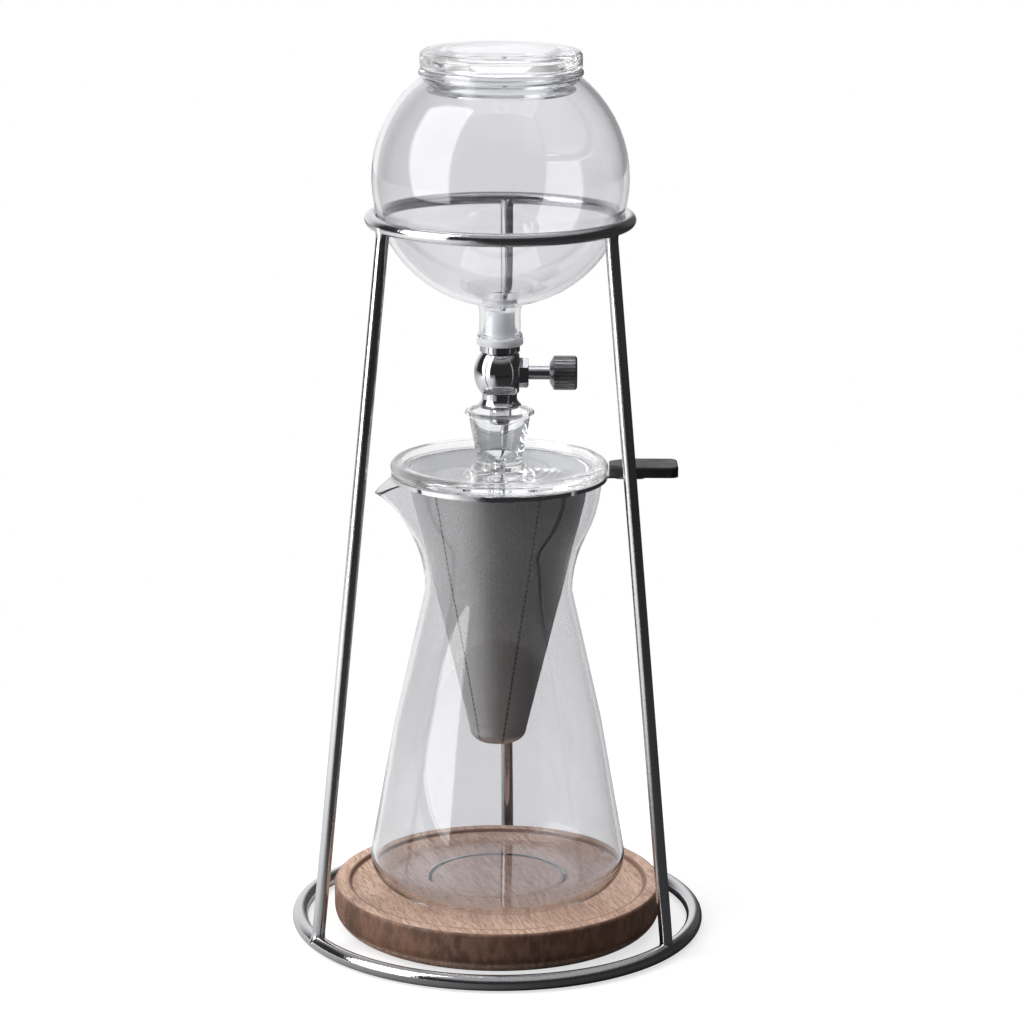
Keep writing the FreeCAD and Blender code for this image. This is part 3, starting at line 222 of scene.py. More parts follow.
class DripLidSizes(bpy.types.PropertyGroup):
    rim_height: length("Rim", 4.8, "Raised rim")
    rim_width: length("Rim width", 5.1, "Raised rim")
    rim_slope: length("Rim slope", 0.8, "Sloped inner side of the rim")
    plate_rise: length("Plate", 2.2, "Top of the plate above the seat")
    plate: length("Plate thickness", 3.0, "Glass of the plate")
    locate_radius: length("Locating step", 33.3, "Plate inside the filter's mouth")
    locate_slope: length("Locating slope", 0.6, "Sloped side of that step")
    cup_lip: length("Cup lip", 1.6, "How far the cup's lip stands out")
    cup_lip_height: length("Cup lip height", 2.6, "Lip of the cup")
    cup_lip_hollow: length("Cup lip hollow", 2.0, "Hollow round under the lip")
    cup_lip_round: length("Cup lip round", 1.0, "Round of the lip's edge")
    cup_radius: length("Cup", 13.2, "Lip of the cup")
    cup_wall: length("Cup wall", 1.3, "Glass of the cup")
    cup_foot: length("Cup foot", 8.8, "Narrow end of the cup")
    cup_foot_height: length("Cup foot height", 6.2, "Narrow end above the seat")
    cup_foot_flare: length("Cup foot flare", 1.8, "How far the foot spreads on the plate")
    cup_foot_hollow: length("Cup foot hollow", 5.0, "Hollow round of the foot")
    cup_floor: length("Cup floor", 4.6, "Floor of the cup above the seat")
    nozzle: length("Spigot", 4.6, "Spigot under the cup")
    nozzle_length: length("Spigot length", 4.4, "Spigot under the cup")
    bore: length("Drip hole", 1.6, "Radius of the drip hole")


class TankSizes(bpy.types.PropertyGroup):
    wall: length("Wall", 2.0, "Glass of the globe")
    outlet: length("Outlet", 7.8, "Outlet tube, outside")
    outlet_round: length("Outlet round", 3.0, "Hollow round between tube and globe")
    outlet_lip: length("Outlet lip", 0.7, "How far the end of the tube is spread")
    outlet_lip_height: length("Outlet lip height", 1.6, "Spread end of the tube")
    neck: length("Neck", 29.5, "Outside, where the bead starts")
    mouth: length("Mouth", 28.1, "Inside of the mouth")
    lid_edge: length("Lid edge", 6.8, "Flange of the lid")
    lid_dome: length("Lid dome", 1.8, "Rise of the lid's middle")
    lid_round: length("Lid upper round", 2.2, "Upper edge of the flange")
    lid_lower_round: length("Lid lower round", 1.1, "Lower edge of the flange")
    plug: length("Plug", 25.0, "Skirt of the lid")
    plug_wall: length("Plug wall", 2.5, "Skirt of the lid")
    plug_hollow: length("Plug hollow", 3.2, "Hollow above the seat")


class Colours(bpy.types.PropertyGroup):
    steel: colour("Steel", 0.6, 0.6, 0.61, "Polished rod")
    chrome: colour("Chrome", 0.56, 0.56, 0.575, "Plating of the valve")
    screen: colour("Screen", 0.7, 0.7, 0.69, "Etched screen")
    mesh: colour("Mesh", 0.75, 0.76, 0.78, "Fine inner mesh")
    knob: colour("Knob", 0.3, 0.3, 0.305, "Dark metal of the knob")
    globe: colour("Globe glass", 0.86, 0.86, 0.878, "Tint of the globe")
    carafe: colour("Carafe glass", 0.79, 0.79, 0.806, "Tint of the carafe")
    pressed: colour("Pressed glass", 0.965, 0.97, 0.975, "Tint of the two lids")
    silicone: colour("Silicone", 0.93, 0.945, 0.96, "Stopper")
    seal: colour("Seal", 0.96, 0.965, 0.97, "Clear ribbed ring")
    wood_light: colour("Light wood", 0.82, 0.57, 0.435, "Face of the grain")
    wood_dark: colour("Dark wood", 0.3, 0.15, 0.09, "Lines of the grain")
    # Partly the end grain's own darker tone, partly painted shade of the side; also the painted
    # shade at the recess's edge
    wood_side_and_shade: colour("Wood edge", 0.22, 0.115, 0.078, "Turned side of the coaster")
    plastic: colour("Plastic", 0.012, 0.012, 0.013, "Handle")
    bush: colour("Bush", 0.85, 0.85, 0.82, "Valve seat")
    rubber: colour("Rubber", 0.015, 0.015, 0.016, "O-ring")
    floor: colour("Floor", 0.86, 0.86, 0.86, "Table and background")
    # Painted light and shade on the table, for what mirrors and bounced light see: lit on the
    # lamps' side, dark on the other
    lit_floor: colour("Lit floor", 0.8, 0.8, 0.8, "Table on the side of the lamps")
    shaded_floor: colour("Shaded floor", 0.06, 0.06, 0.062, "Table on the dark side")


class TowerSettings(bpy.types.PropertyGroup):
    stand: bpy.props.PointerProperty(type=StandSizes)
    carafe: bpy.props.PointerProperty(type=CarafeSizes)
    filter: bpy.props.PointerProperty(type=FilterSizes)
    drip_lid: bpy.props.PointerProperty(type=DripLidSizes)
    tank: bpy.props.PointerProperty(type=TankSizes)
    colours: bpy.props.PointerProperty(type=Colours)


def settings():
    return bpy.context.scene.drip_tower


# Places, read from the solids

def bottom(node):
    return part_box(node)[0].z


def top(node):
    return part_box(node)[1].z


def widest(node):
    """Outer radius of a piece that is round about the tower's axis."""
    low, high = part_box(node)
    return max(high.x - low.x, high.y - low.y) / 2


# Shapes

class Section:
    """Half section of a turned piece, by radius and height, drawn with lines and arcs."""

    def __init__(self, radius, height):
        self.points = [Vector((radius, height))]

    def line(self, radius, height):
        self.points.append(Vector((radius, height)))
        return self

    def arc(self, radius, height, bend, side):
        """The shorter arc of radius bend to the given point, turning "left" or "right"."""
        start = self.points[-1]
        chord = Vector((radius, height)) - start
        half = chord.length / 2
        left = 1 if side == "left" else -1
        across = Vector((-chord.y, chord.x)).normalized() * left
        centre = start + chord / 2 + across * math.sqrt(bend ** 2 - half ** 2)
        turn = 2 * math.asin(half / bend) * left
        count = max(2, math.ceil(abs(turn) / ARC_STEP))
        for number in range(1, count + 1):
            spoke = start - centre
            spoke.rotate(Matrix.Rotation(turn * number / count, 2))
            self.points.append(centre + spoke)
        return self


def spun(section, steps=TURNED_STEPS, closed=True):
    """A mesh that a half section sweeps about the upright axis."""
    mesh = bmesh.new()
    ring = [mesh.verts.new((spot.x, 0, spot.y)) for spot in section.points]
    pairs = list(zip(ring, ring[1:]))
    if closed:
        pairs.append((ring[-1], ring[0]))
    edges = [mesh.edges.new(pair) for pair in pairs]
    sweep(mesh, ring + edges, steps)
    return mesh


def sweep(mesh, geometry, steps):
    """Sweeps once round the upright axis, cleans up and turns every face outwards."""
    bmesh.ops.spin(mesh, geom=geometry, cent=(0, 0, 0), axis=(0, 0, 1), dvec=(0, 0, 0),
                   angle=FULL_TURN, steps=steps, use_merge=True)
    bmesh.ops.remove_doubles(mesh, verts=mesh.verts, dist=WELDED)
    bmesh.ops.dissolve_degenerate(mesh, edges=mesh.edges, dist=WELDED)
    bmesh.ops.recalc_face_normals(mesh, faces=mesh.faces)


def soften(mesh, width=EDGE_ROUND):
    """Rounds every crisp edge, so that it catches the light."""
    crisp = [edge for edge in mesh.edges
             if len(edge.link_faces) == 2 and edge.calc_face_angle() > SHARP]
    bmesh.ops.bevel(mesh, geom=crisp, offset=width, offset_type="OFFSET",
                    segments=BEVEL_STEPS, profile=0.5, affect="EDGES", clamp_overlap=True,
                    material=-1)


def move(mesh, matrix):
    bmesh.ops.transform(mesh, matrix=matrix, verts=mesh.verts)


def add_object(name, data):
    body = bpy.data.objects.new(name, data)
    bpy.context.scene.collection.objects.link(body)
    return body


def finished(mesh, name, finish, body, node):
    """Makes the shown object of a piece that stands for a CAD node."""
    for face in mesh.faces:
        face.smooth = True
    for edge in mesh.edges:
        if len(edge.link_faces) == 2 and edge.calc_face_angle() > SHARP:
            edge.smooth = False
    data = bpy.data.meshes.new(name)
    mesh.to_mesh(data)
    mesh.free()
    data.materials.append(finish_for(finish))
    piece = add_object(name, data)
    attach(piece, body)
    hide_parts(node)


# Shader groups that several finishes share

def new_group(name, inputs, outputs):
    """An empty shader group with named sockets, its inputs by name and its output node."""
    group = bpy.data.node_groups.new(name, "ShaderNodeTree")
    for in_out, labels in (("INPUT", inputs), ("OUTPUT", outputs)):
        for label in labels:
            kind = "NodeSocketVector" if label == "Normal" else "NodeSocketFloat"
            group.interface.new_socket(label, in_out=in_out, socket_type=kind)
    return group, group.nodes.new("NodeGroupInput").outputs, group.nodes.new("NodeGroupOutput")


def feed(tree, value, socket):
    """Sets a socket to a plain value, or links it to another node's output."""
    if isinstance(value, bpy.types.NodeSocket):
        tree.links.new(value, socket)
    else:
        socket.default_value = value


def add_node(tree, kind, *values):
    """A new node whose first inputs take the given values or output sockets."""
    node = tree.nodes.new("ShaderNode" + kind)
    for value, socket in zip(values, node.inputs):
        feed(tree, value, socket)
    return node


def math_node(tree, operation, *values):
    node = add_node(tree, "Math", *values)
    node.operation = operation
    return node.outputs[0]


def times(tree, first, second):
    return math_node(tree, "MULTIPLY", first, second)


def remap(tree, value, low, high, to_low=0, to_high=1):
    """Eases a value from one range to another."""
    node = add_node(tree, "MapRange")
    node.interpolation_type = "SMOOTHSTEP"
    for label, number in (("Value", value), ("From Min", low), ("From Max", high),
                          ("To Min", to_low), ("To Max", to_high)):
        feed(tree, number, node.inputs[label])
    return node.outputs["Result"]


def object_place(tree, stretch=(1, 1, 1), turn=0.0):
    """Object coordinates in metres, for a pattern that is stretched and then turned."""
    place = add_node(tree, "TexCoord")
    mapping = add_node(tree, "Mapping")
    mapping.vector_type = "TEXTURE"
    mapping.inputs["Scale"].default_value = stretch
    mapping.inputs["Rotation"].default_value = (0, 0, turn)
    feed(tree, place.outputs["Object"], mapping.inputs["Vector"])
    return mapping.outputs["Vector"]


def vector_math(tree, operation, *values):
    node = add_node(tree, "VectorMath", *values)
    node.operation = operation
    return node.outputs


def axis_distance(tree):
    """How far a point of the piece lies from the tower's axis."""
    place = add_node(tree, "TexCoord").outputs["Object"]
    flat = vector_math(tree, "MULTIPLY", place, (1, 1, 0))["Vector"]
    return vector_math(tree, "LENGTH", flat)["Value"]


def noise(tree, place, scale, detail=3, distortion=0):
    node = add_node(tree, "TexNoise")
    node.inputs["Detail"].default_value = detail
    node.inputs["Distortion"].default_value = distortion
    feed(tree, scale, node.inputs["Scale"])
    feed(tree, place, node.inputs["Vector"])
    return node.outputs["Fac"]


def bump(tree, height, strength, distance, normal=None):
    node = add_node(tree, "Bump")
    node.inputs["Distance"].default_value = distance
    feed(tree, strength, node.inputs["Strength"])
    feed(tree, height, node.inputs["Height"])
    if normal is not None:
        feed(tree, normal, node.inputs["Normal"])
    return node.outputs["Normal"]


def mix_colours(tree, share, first, second):
    """A colour mix; each colour is a plain one or an output socket."""
    node = add_node(tree, "Mix")
    node.data_type = "RGBA"
    feed(tree, share, node.inputs["Factor"])
    for label, value in (("A", first), ("B", second)):
        socket = [item for item in node.inputs if item.name == label and item.type == "RGBA"][0]
        feed(tree, value, socket)
    return [item for item in node.outputs if item.type == "RGBA"][0]


def shade_of(tint, share):
    """A darker shade of a colour."""
    return tuple(value * share for value in tint[:3]) + (1,)


def handled_group():
    """Patchy polish and faint rubbing marks: a roughness and a normal."""
    group, start, end = new_group(
        "Handled surface",
        ("Patch Scale", "Low Roughness", "High Roughness", "Mark Scale", "Mark Depth"),
        ("Roughness", "Normal"))
    place = object_place(group)
    patches = noise(group, place, start["Patch Scale"], detail=4)
    marks = noise(group, place, start["Mark Scale"], detail=2)
    both = math_node(group, "MULTIPLY_ADD", marks, 0.4, times(group, patches, 0.8))
    rough = remap(group, both, 0.4, 0.8, start["Low Roughness"], start["High Roughness"])
    normal = bump(group, marks, start["Mark Depth"], MARK_RELIEF)
    feed(group, rough, end.inputs["Roughness"])
    feed(group, normal, end.inputs["Normal"])
    return group


def blown_group():
    """Slow waves of blown glass as a normal."""
    group, start, end = new_group("Blown waves", ("Wave Scale", "Depth"), ("Normal",))
    place = object_place(group, stretch=(1, 1, 1.7))
    waves = noise(group, place, start["Wave Scale"], detail=1)
    feed(group, bump(group, waves, start["Depth"], WAVE_RELIEF), end.inputs["Normal"])
    return group


def flat_place(tree):
    """The flat map that flatten_cone lays out, in metres."""
    place = add_node(tree, "UVMap")
    place.uv_map = "Flat"
    return place.outputs["UV"]


def split_place(tree, place):
    return add_node(tree, "SeparateXYZ", place).outputs


def etched_group():
    """Staggered round holes on a sheet, read from the piece's own flat map in metres."""
    group, start, end = new_group("Etched holes", ("Pitch", "Hole"), ("Hole", "Height"))
    cells = add_node(group, "TexVoronoi")
    cells.voronoi_dimensions = "2D"
    cells.inputs["Randomness"].default_value = 0
    mapping = add_node(group, "Mapping")
    mapping.inputs["Rotation"].default_value = (0, 0, math.radians(45))
    feed(group, flat_place(group), mapping.inputs["Vector"])
    feed(group, mapping.outputs["Vector"], cells.inputs["Vector"])
    feed(group, math_node(group, "DIVIDE", 1, start["Pitch"]), cells.inputs["Scale"])
    edge = math_node(group, "ADD", start["Hole"], HOLE_EDGE)
    solid = remap(group, cells.outputs["Distance"], start["Hole"], edge)
    feed(group, math_node(group, "SUBTRACT", 1, solid), end.inputs["Hole"])
    feed(group, solid, end.inputs["Height"])
    return group


def seam_group():
    """A straight lapped seam on the flat map, spot welded along its length."""
    group, start, end = new_group(
        "Lapped seam", ("Across X", "Across Y", "Offset", "Width"), ("Mask",))
    flat = split_place(group, flat_place(group))
    aside = times(group, flat["X"], start["Across X"])
    ahead = times(group, flat["Y"], start["Across Y"])
    reach = math_node(group, "ADD", aside, ahead)
    line = math_node(group, "SUBTRACT", reach, start["Offset"])
    half = times(group, start["Width"], 0.5)
    edge = remap(group, math_node(group, "ABSOLUTE", line), 0, half, 1, 0)
    welds = remap(group, math_node(group, "PINGPONG", flat["Y"], WELD_PITCH),
                  0.0003, 0.0007, 0.6, 1)
    feed(group, times(group, edge, welds), end.inputs["Mask"])
    return group


def place_group(tree, group, **values):
    node = add_node(tree, "Group")
    node.node_tree = group
    for label, value in values.items():
        node.inputs[label.replace("_", " ").title()].default_value = value
    return node.outputs


# Finishes

def make_finishes():
    """The tower's materials, each made once."""
    colours = settings().colours
    handled, blown = handled_group(), blown_group()
    made = {
        "screen": etched_metal("Etched screen", etched_group(), seam_group(), handled,
                               colours.screen),
        "mesh": woven_metal("Fine mesh", handled, colours.mesh),
        "wood": oiled_wood("Oiled wood", colours),
    }
    for finishes, maker, pattern in (
            (METALS, rubbed_metal, handled), (GLASSES, clear_glass, blown),
            (SILICONES, soft_clear, handled), (PLASTICS, moulded, handled)):
        for finish, (name, tint, *values) in finishes.items():
            made[finish] = maker(name, pattern, getattr(colours, tint), *values)
    return made


def principled(name, tint):
    """A new material with its Principled shader."""
    material = bpy.data.materials.new(name)
    material.use_nodes = True
    shader = material.node_tree.nodes["Principled BSDF"]
    shader.inputs["Base Color"].default_value = tint
    return material, material.node_tree, shader


def paint(tree, shader, **values):
    """Feeds values or outputs to the inputs of a shader, by their names."""
    for label, value in values.items():
        feed(tree, value, shader.inputs[label.replace("_", " ").title()])


def wear(tree, shader, handled, **values):
    """Patchy polish and rubbing marks on a shader; gives their normal."""
    marks = place_group(tree, handled, **values)
    paint(tree, shader, roughness=marks["Roughness"], normal=marks["Normal"])
    return marks["Normal"]


def rubbed_metal(name, handled, tint, low, high, patches, depth):
    """Metal with a patchy polish."""
    material, tree, shader = principled(name, tint)
    paint(tree, shader, metallic=1)
    wear(tree, shader, handled, patch_scale=patches, low_roughness=low, high_roughness=high,
         mark_scale=patches * MARKS_PER_PATCH, mark_depth=depth)
    return material


def etched_metal(name, etched, seam, handled, tint):
    """Sheet with fine etched holes, painted dark as the shade seen through them, and two dark
    lapped seams.
    """
    sizes = settings().filter
    material, tree, shader = principled(name, tint)
    paint(tree, shader, metallic=0.93)
    holes = place_group(tree, etched, pitch=sizes.hole_pitch, hole=HOLE_SIZE)
    marks = wear(tree, shader, handled, patch_scale=80, low_roughness=0.36, high_roughness=0.44,
                 mark_scale=1500, mark_depth=0.1)
    # The holes are painted dark, as the shade seen through them; the seams are the sheet's own
    # dark lapped joints
    shade = times(tree, holes["Hole"], 0.75)
    for slant, offset in ((sizes.left_seam, 0.0), (sizes.right_seam, -sizes.right_seam_offset)):
        line = place_group(tree, seam, across_x=math.cos(slant), across_y=-math.sin(slant),
                           offset=offset, width=sizes.seam_width)
        shade = math_node(tree, "MAXIMUM", shade, line["Mask"])
    face = mix_colours(tree, shade, tint, shade_of(tint, 0.12))
    relief = bump(tree, holes["Height"], 0.4, SHEET_RELIEF, marks)
    paint(tree, shader, base_color=face, normal=relief)
    return material


def woven_metal(name, handled, tint):
    """Fine wire cloth on a cone about the tower's axis, with painted shade in its weave."""
    material, tree, shader = principled(name, tint)
    paint(tree, shader, metallic=0.6)
    place = split_place(tree, add_node(tree, "TexCoord").outputs["Object"])
    turn = math_node(tree, "ARCTAN2", place["Y"], place["X"])
    rise = times(tree, place["Z"], FULL_TURN / MESH_PITCH)
    warp = math_node(tree, "SINE", times(tree, turn, MESH_WIRES))
    weft = math_node(tree, "SINE", rise)
    # Painted shade of the weave: darker squares where the wires dip under each other
    weave = remap(tree, times(tree, warp, weft), -1, 1)
    face = mix_colours(tree, weave, shade_of(tint, 0.45), tint)
    marks = wear(tree, shader, handled, patch_scale=90, low_roughness=0.38, high_roughness=0.5,
                 mark_scale=1200, mark_depth=0.1)
    relief = bump(tree, weave, 0.3, SHEET_RELIEF, marks)
    paint(tree, shader, base_color=face, normal=relief)
    return material


def mix_shaders(tree, share, first, second):
    mixed = add_node(tree, "MixShader", share, first, second)
    feed(tree, mixed.outputs["Shader"], tree.nodes["Material Output"].inputs["Surface"])


def let_lamps_through(tree, shader, tint):
    """Lamps shine through glass without being bent, so that it throws only a faint shadow."""
    path = add_node(tree, "LightPath").outputs
    clear = add_node(tree, "BsdfTransparent")
    clear.inputs["Color"].default_value = tuple(value ** LAMP_TINT for value in tint)
    mix_shaders(tree, path["Is Shadow Ray"], shader.outputs["BSDF"], clear.outputs["BSDF"])


def clear_glass(name, blown, tint, edge, edge_start, depth):
    """Glass that darkens a little where it is seen on edge."""
    material, tree, shader = principled(name, tint)
    paint(tree, shader, transmission_weight=1)
    paint(tree, shader, roughness=0)
    shader.inputs["IOR"].default_value = GLASS_IOR
    rim = add_node(tree, "LayerWeight")
    rim.inputs["Blend"].default_value = 0.5
    share = remap(tree, rim.outputs["Facing"], edge_start, 1)
    face = mix_colours(tree, share, tint, shade_of(tint, edge))
    waves = place_group(tree, blown, wave_scale=GLASS_WAVES, depth=depth)
    paint(tree, shader, base_color=face, normal=waves["Normal"])
    let_lamps_through(tree, shader, tint)
    return material


def soft_clear(name, handled, tint, clear, rough):
    """Silicone: see-through, and cloudy where it is rough."""
    material, tree, shader = principled(name, tint)
    paint(tree, shader, transmission_weight=clear)
    shader.inputs["IOR"].default_value = SILICONE_IOR
    wear(tree, shader, handled, patch_scale=200, low_roughness=rough, high_roughness=rough + 0.1,
         mark_scale=1800, mark_depth=0.05)
    let_lamps_through(tree, shader, tint)
    return material


def moulded(name, handled, tint, low, high, depth):
    """Moulded plastic or rubber with a faint grain."""
    material, tree, shader = principled(name, tint)
    wear(tree, shader, handled, patch_scale=150, low_roughness=low, high_roughness=high,
         mark_scale=2600, mark_depth=depth)
    return material


def oiled_wood(name, colours):
    """Open-grained wood: grain lines and pores across the plate, painted shade at the edge of the
    recess, and a dark turned side that is partly its own tone and partly painted shade.
    """
    sizes = settings().stand
    light, dark, edge = colours.wood_light, colours.wood_dark, colours.wood_side_and_shade
    material, tree, shader = principled(name, light)
    mottle_place = object_place(tree, stretch=(1, 1, 2))
    grain, fibre, cloud = (object_place(tree, stretch=stretch, turn=sizes.grain_turn)
                           for stretch in ((1, 13, 3), (1, 12, 2), (1, 3, 1)))
    streaks = noise(tree, grain, GRAIN_LINES, detail=6, distortion=0.8)
    lines = remap(tree, streaks, 0.42, 0.64)
    pores = remap(tree, noise(tree, fibre, WOOD_PORES, detail=2), 0.54, 0.63)
    clouds = remap(tree, noise(tree, cloud, WOOD_CLOUDS, detail=2), 0.4, 0.7, 0, 0.3)
    mottles = remap(tree, noise(tree, mottle_place, SIDE_MOTTLES, detail=5), 0.4, 0.62)
    reach = axis_distance(tree)
    # Painted shade: a dark ring at the edge of the recess, where shade falls in the step
    ring = math_node(tree, "ABSOLUTE", math_node(tree, "SUBTRACT", reach, sizes.recess_radius))
    groove_shade = remap(tree, ring, 0.0003, 0.0013, 0.9, 0)
    # The turned side is darker: partly the end grain's own tone, partly painted shade
    outer = widest("coaster")
    side = remap(tree, reach, outer - 0.0012, outer - 0.0004)
    face = mix_colours(tree, times(tree, lines, 0.5), light, dark)
    face = mix_colours(tree, clouds, face, dark)
    face = mix_colours(tree, times(tree, pores, 0.75), face, dark)
    face = mix_colours(tree, groove_shade, face, edge)
    worn = times(tree, mottles, 0.6)
    turned = mix_colours(tree, worn, edge, shade_of(edge, 0.25))
    turned = mix_colours(tree, clouds, turned, dark)
    height = math_node(tree, "MULTIPLY_ADD", pores, -1, times(tree, lines, -0.3))
    paint(tree, shader, base_color=mix_colours(tree, side, face, turned),
          roughness=remap(tree, lines, 0, 1, 0.52, 0.42),
          normal=bump(tree, height, 0.45, WOOD_RELIEF))
    return material


FINISHES = {}


def finish_for(name):
    if not FINISHES:
        FINISHES.update(make_finishes())
    return FINISHES[name]


# Stand

def hoop(node, rod):
    """A closed hoop of round rod."""
    mesh = bmesh.new()
    radius = widest(node) - rod
    made = bmesh.ops.create_circle(mesh, segments=ROD_SIDES, radius=rod)
    upright = Matrix.Rotation(math.radians(90), 4, "X")
    move(mesh, Matrix.Translation((radius, 0, (bottom(node) + top(node)) / 2)) @ upright)
    sweep(mesh, made["verts"] + list(mesh.edges), FINE_STEPS)
    finished(mesh, "Hoop_" + node, "steel", "stand", node)


def leg(node, azimuth):
    """A straight rod between the hoops, with a small weld at each end."""
    sizes = settings().stand
    foot = Vector((widest("base_ring") - sizes.base_rod, 0, bottom("base_ring") + sizes.base_rod))
    head = Vector((widest("top_ring") - sizes.frame_rod, 0, top("top_ring") - sizes.frame_rod))
    way = head - foot
    rod = sizes.frame_rod
    weld = rod + sizes.weld_width
    bend = sizes.weld_length ** 2 / sizes.weld_width
    section = Section(0, 0).line(weld, 0)
    section.arc(rod, sizes.base_rod + sizes.weld_length, bend, "right")
    section.line(rod, way.length - rod - sizes.weld_length)
    section.arc(weld, way.length, bend, "right").line(0, way.length)
    mesh = spun(section, steps=LEG_STEPS)
    lean = Vector((0, 0, 1)).rotation_difference(way).to_matrix().to_4x4()
    turn = Matrix.Rotation(azimuth - math.pi / 2 - sizes.leg_turn, 4, "Z")
    move(mesh, turn @ Matrix.Translation(foot) @ lean)
    finished(mesh, "Rod_" + node, "steel", "stand", node)


class TOWER_OT_stand(bpy.types.Operator):
    """Builds the two hoops and the three legs"""
    bl_idname = "drip_tower.stand"
    bl_label = "Stand"

    def execute(self, context):
        sizes = settings().stand
        hoop("base_ring", sizes.base_rod)
        hoop("top_ring", sizes.frame_rod)
        for node, degrees in (("leg_front_left", -60), ("leg_front_right", 60),
                              ("leg_back", 180)):
            leg(node, math.radians(degrees))
        return {"FINISHED"}


class TOWER_OT_coaster(bpy.types.Operator):
    """Builds the wooden coaster"""
    bl_idname = "drip_tower.coaster"
    bl_label = "Coaster"

    def execute(self, context):
        sizes = settings().stand
        radius, height = widest("coaster"), top("coaster")
        lower, upper = sizes.coaster_lower, sizes.coaster_upper
        floor = height - sizes.recess_depth - HAIRLINE * 2
        section = Section(0, 0).line(radius - lower, 0).arc(radius, lower, lower, "left")
        section.line(radius, height - upper).arc(radius - upper, height, upper, "left")
        section.line(sizes.recess_radius, height).line(sizes.recess_radius, floor).line(0, floor)
        mesh = spun(section, closed=False)
        soften(mesh)
        finished(mesh, "Coaster", "wood", "stand", "coaster")
        return {"FINISHED"}


# Carafe

def carafe_side(section, sizes, foot, inset, up):
    """One wall between rim and belly, drawn upwards or downwards."""
    rim = sizes.rim_radius
    waist = sizes.waist_radius
    waist_up = foot + sizes.waist_height
    height = top("carafe") - waist_up
    bend = (height ** 2 + (rim - waist) ** 2) / (rim - waist) / 4
    middle = ((waist + rim) / 2 - inset, waist_up + height / 2)
    bow = belly_tangent(sizes, foot)
    if up:
        section.arc(waist - inset, waist_up, sizes.belly_bow, "left")
        section.arc(*middle, bend, "right")
        section.arc(rim - inset, top("carafe"), bend, "left")
    else:
        section.arc(*middle, bend, "right")
        section.arc(waist - inset, waist_up, bend, "left")
        section.arc(bow.x - inset, bow.y, sizes.belly_bow, "right")


def belly_tangent(sizes, foot):
    """Where the side of the carafe runs into the round of its belly."""
    bend = sizes.belly_round
    centre = Vector((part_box("carafe")[1].y - bend, foot + bend))
    way = Vector((sizes.waist_radius, foot + sizes.waist_height)) - centre
    reach = math.sqrt(way.length_squared - bend ** 2)
    return centre + (way * bend ** 2 + Vector((way.y, -way.x)) * bend * reach) / way.length_squared


def pull_spout(mesh, sizes):
    """Pulls the glass of the rim out and down on the -X side."""
    rim = top("carafe")
    for vertex in mesh.verts:
        depth = (rim - vertex.co.z) / sizes.spout_depth
        if depth >= 1 or vertex.co.x >= 0:
            continue
        aside = math.atan2(vertex.co.y, -vertex.co.x) / sizes.spout_spread
        share = (1 - depth) ** 2 * math.exp(-aside ** 2)
        outward = Vector((vertex.co.x, vertex.co.y, 0)).normalized()
        vertex.co += outward * sizes.spout_reach * share
        vertex.co.z -= sizes.spout_drop * share


class TOWER_OT_carafe(bpy.types.Operator):
    """Builds the hourglass carafe with its pulled spout"""
    bl_idname = "drip_tower.carafe"
    bl_label = "Carafe"

    def execute(self, context):
        sizes = settings().carafe
        foot, rim = bottom("carafe"), top("carafe")
        wall = sizes.wall
        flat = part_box("carafe")[1].y - sizes.belly_round
        bow = belly_tangent(sizes, foot)
        slope, depth = sizes.punt_slope, sizes.punt_depth
        bend = (slope ** 2 + depth ** 2) / (4 * depth)
        section = Section(0, foot + depth).line(sizes.punt_radius - slope, foot + depth)
        section.arc(sizes.punt_radius - slope / 2, foot + depth / 2, bend, "right")
        section.arc(sizes.punt_radius, foot, bend, "left").line(flat, foot)
        section.arc(bow.x, bow.y, sizes.belly_round, "left")
        carafe_side(section, sizes, foot, 0, up=True)
        section.points[-1].y = rim - wall / 2
        section.arc(sizes.rim_radius - wall / 2, rim, wall / 2, "left")
        section.arc(sizes.rim_radius - wall, rim - wall / 2, wall / 2, "left")
        carafe_side(section, sizes, foot, wall, up=False)
        dome = sizes.floor_dome
        section.arc(flat, foot + sizes.floor - dome, sizes.belly_round - wall, "right")
        section.arc(0, foot + sizes.floor, (flat ** 2 + dome ** 2) / (2 * dome), "left")
        mesh = spun(section, steps=FINE_STEPS, closed=False)
        pull_spout(mesh, sizes)
        finished(mesh, "Carafe", "carafe", "carafe", "carafe")
        return {"FINISHED"}


# Filter

def flatten_cone(mesh, half_angle):
    """Lays the cone's flat sheet out as a map in metres, so that its holes keep their pitch."""
    layer = mesh.loops.layers.uv.new("Flat")
    for face in mesh.faces:
        turns = [math.atan2(loop.vert.co.x, -loop.vert.co.y) for loop in face.loops]
        wrapped = max(turns) - min(turns) > math.pi
        level = abs(face.normal.z) > LEVEL
        for loop, turn in zip(face.loops, turns):
            if level:
                loop[layer].uv = loop.vert.co.xy
                continue
            if wrapped and turn < 0:
                turn += FULL_TURN
            reach = loop.vert.co.xy.length / math.sin(half_angle)
            spread = turn * math.sin(half_angle)
            loop[layer].uv = (reach * math.sin(spread), reach * math.cos(spread))


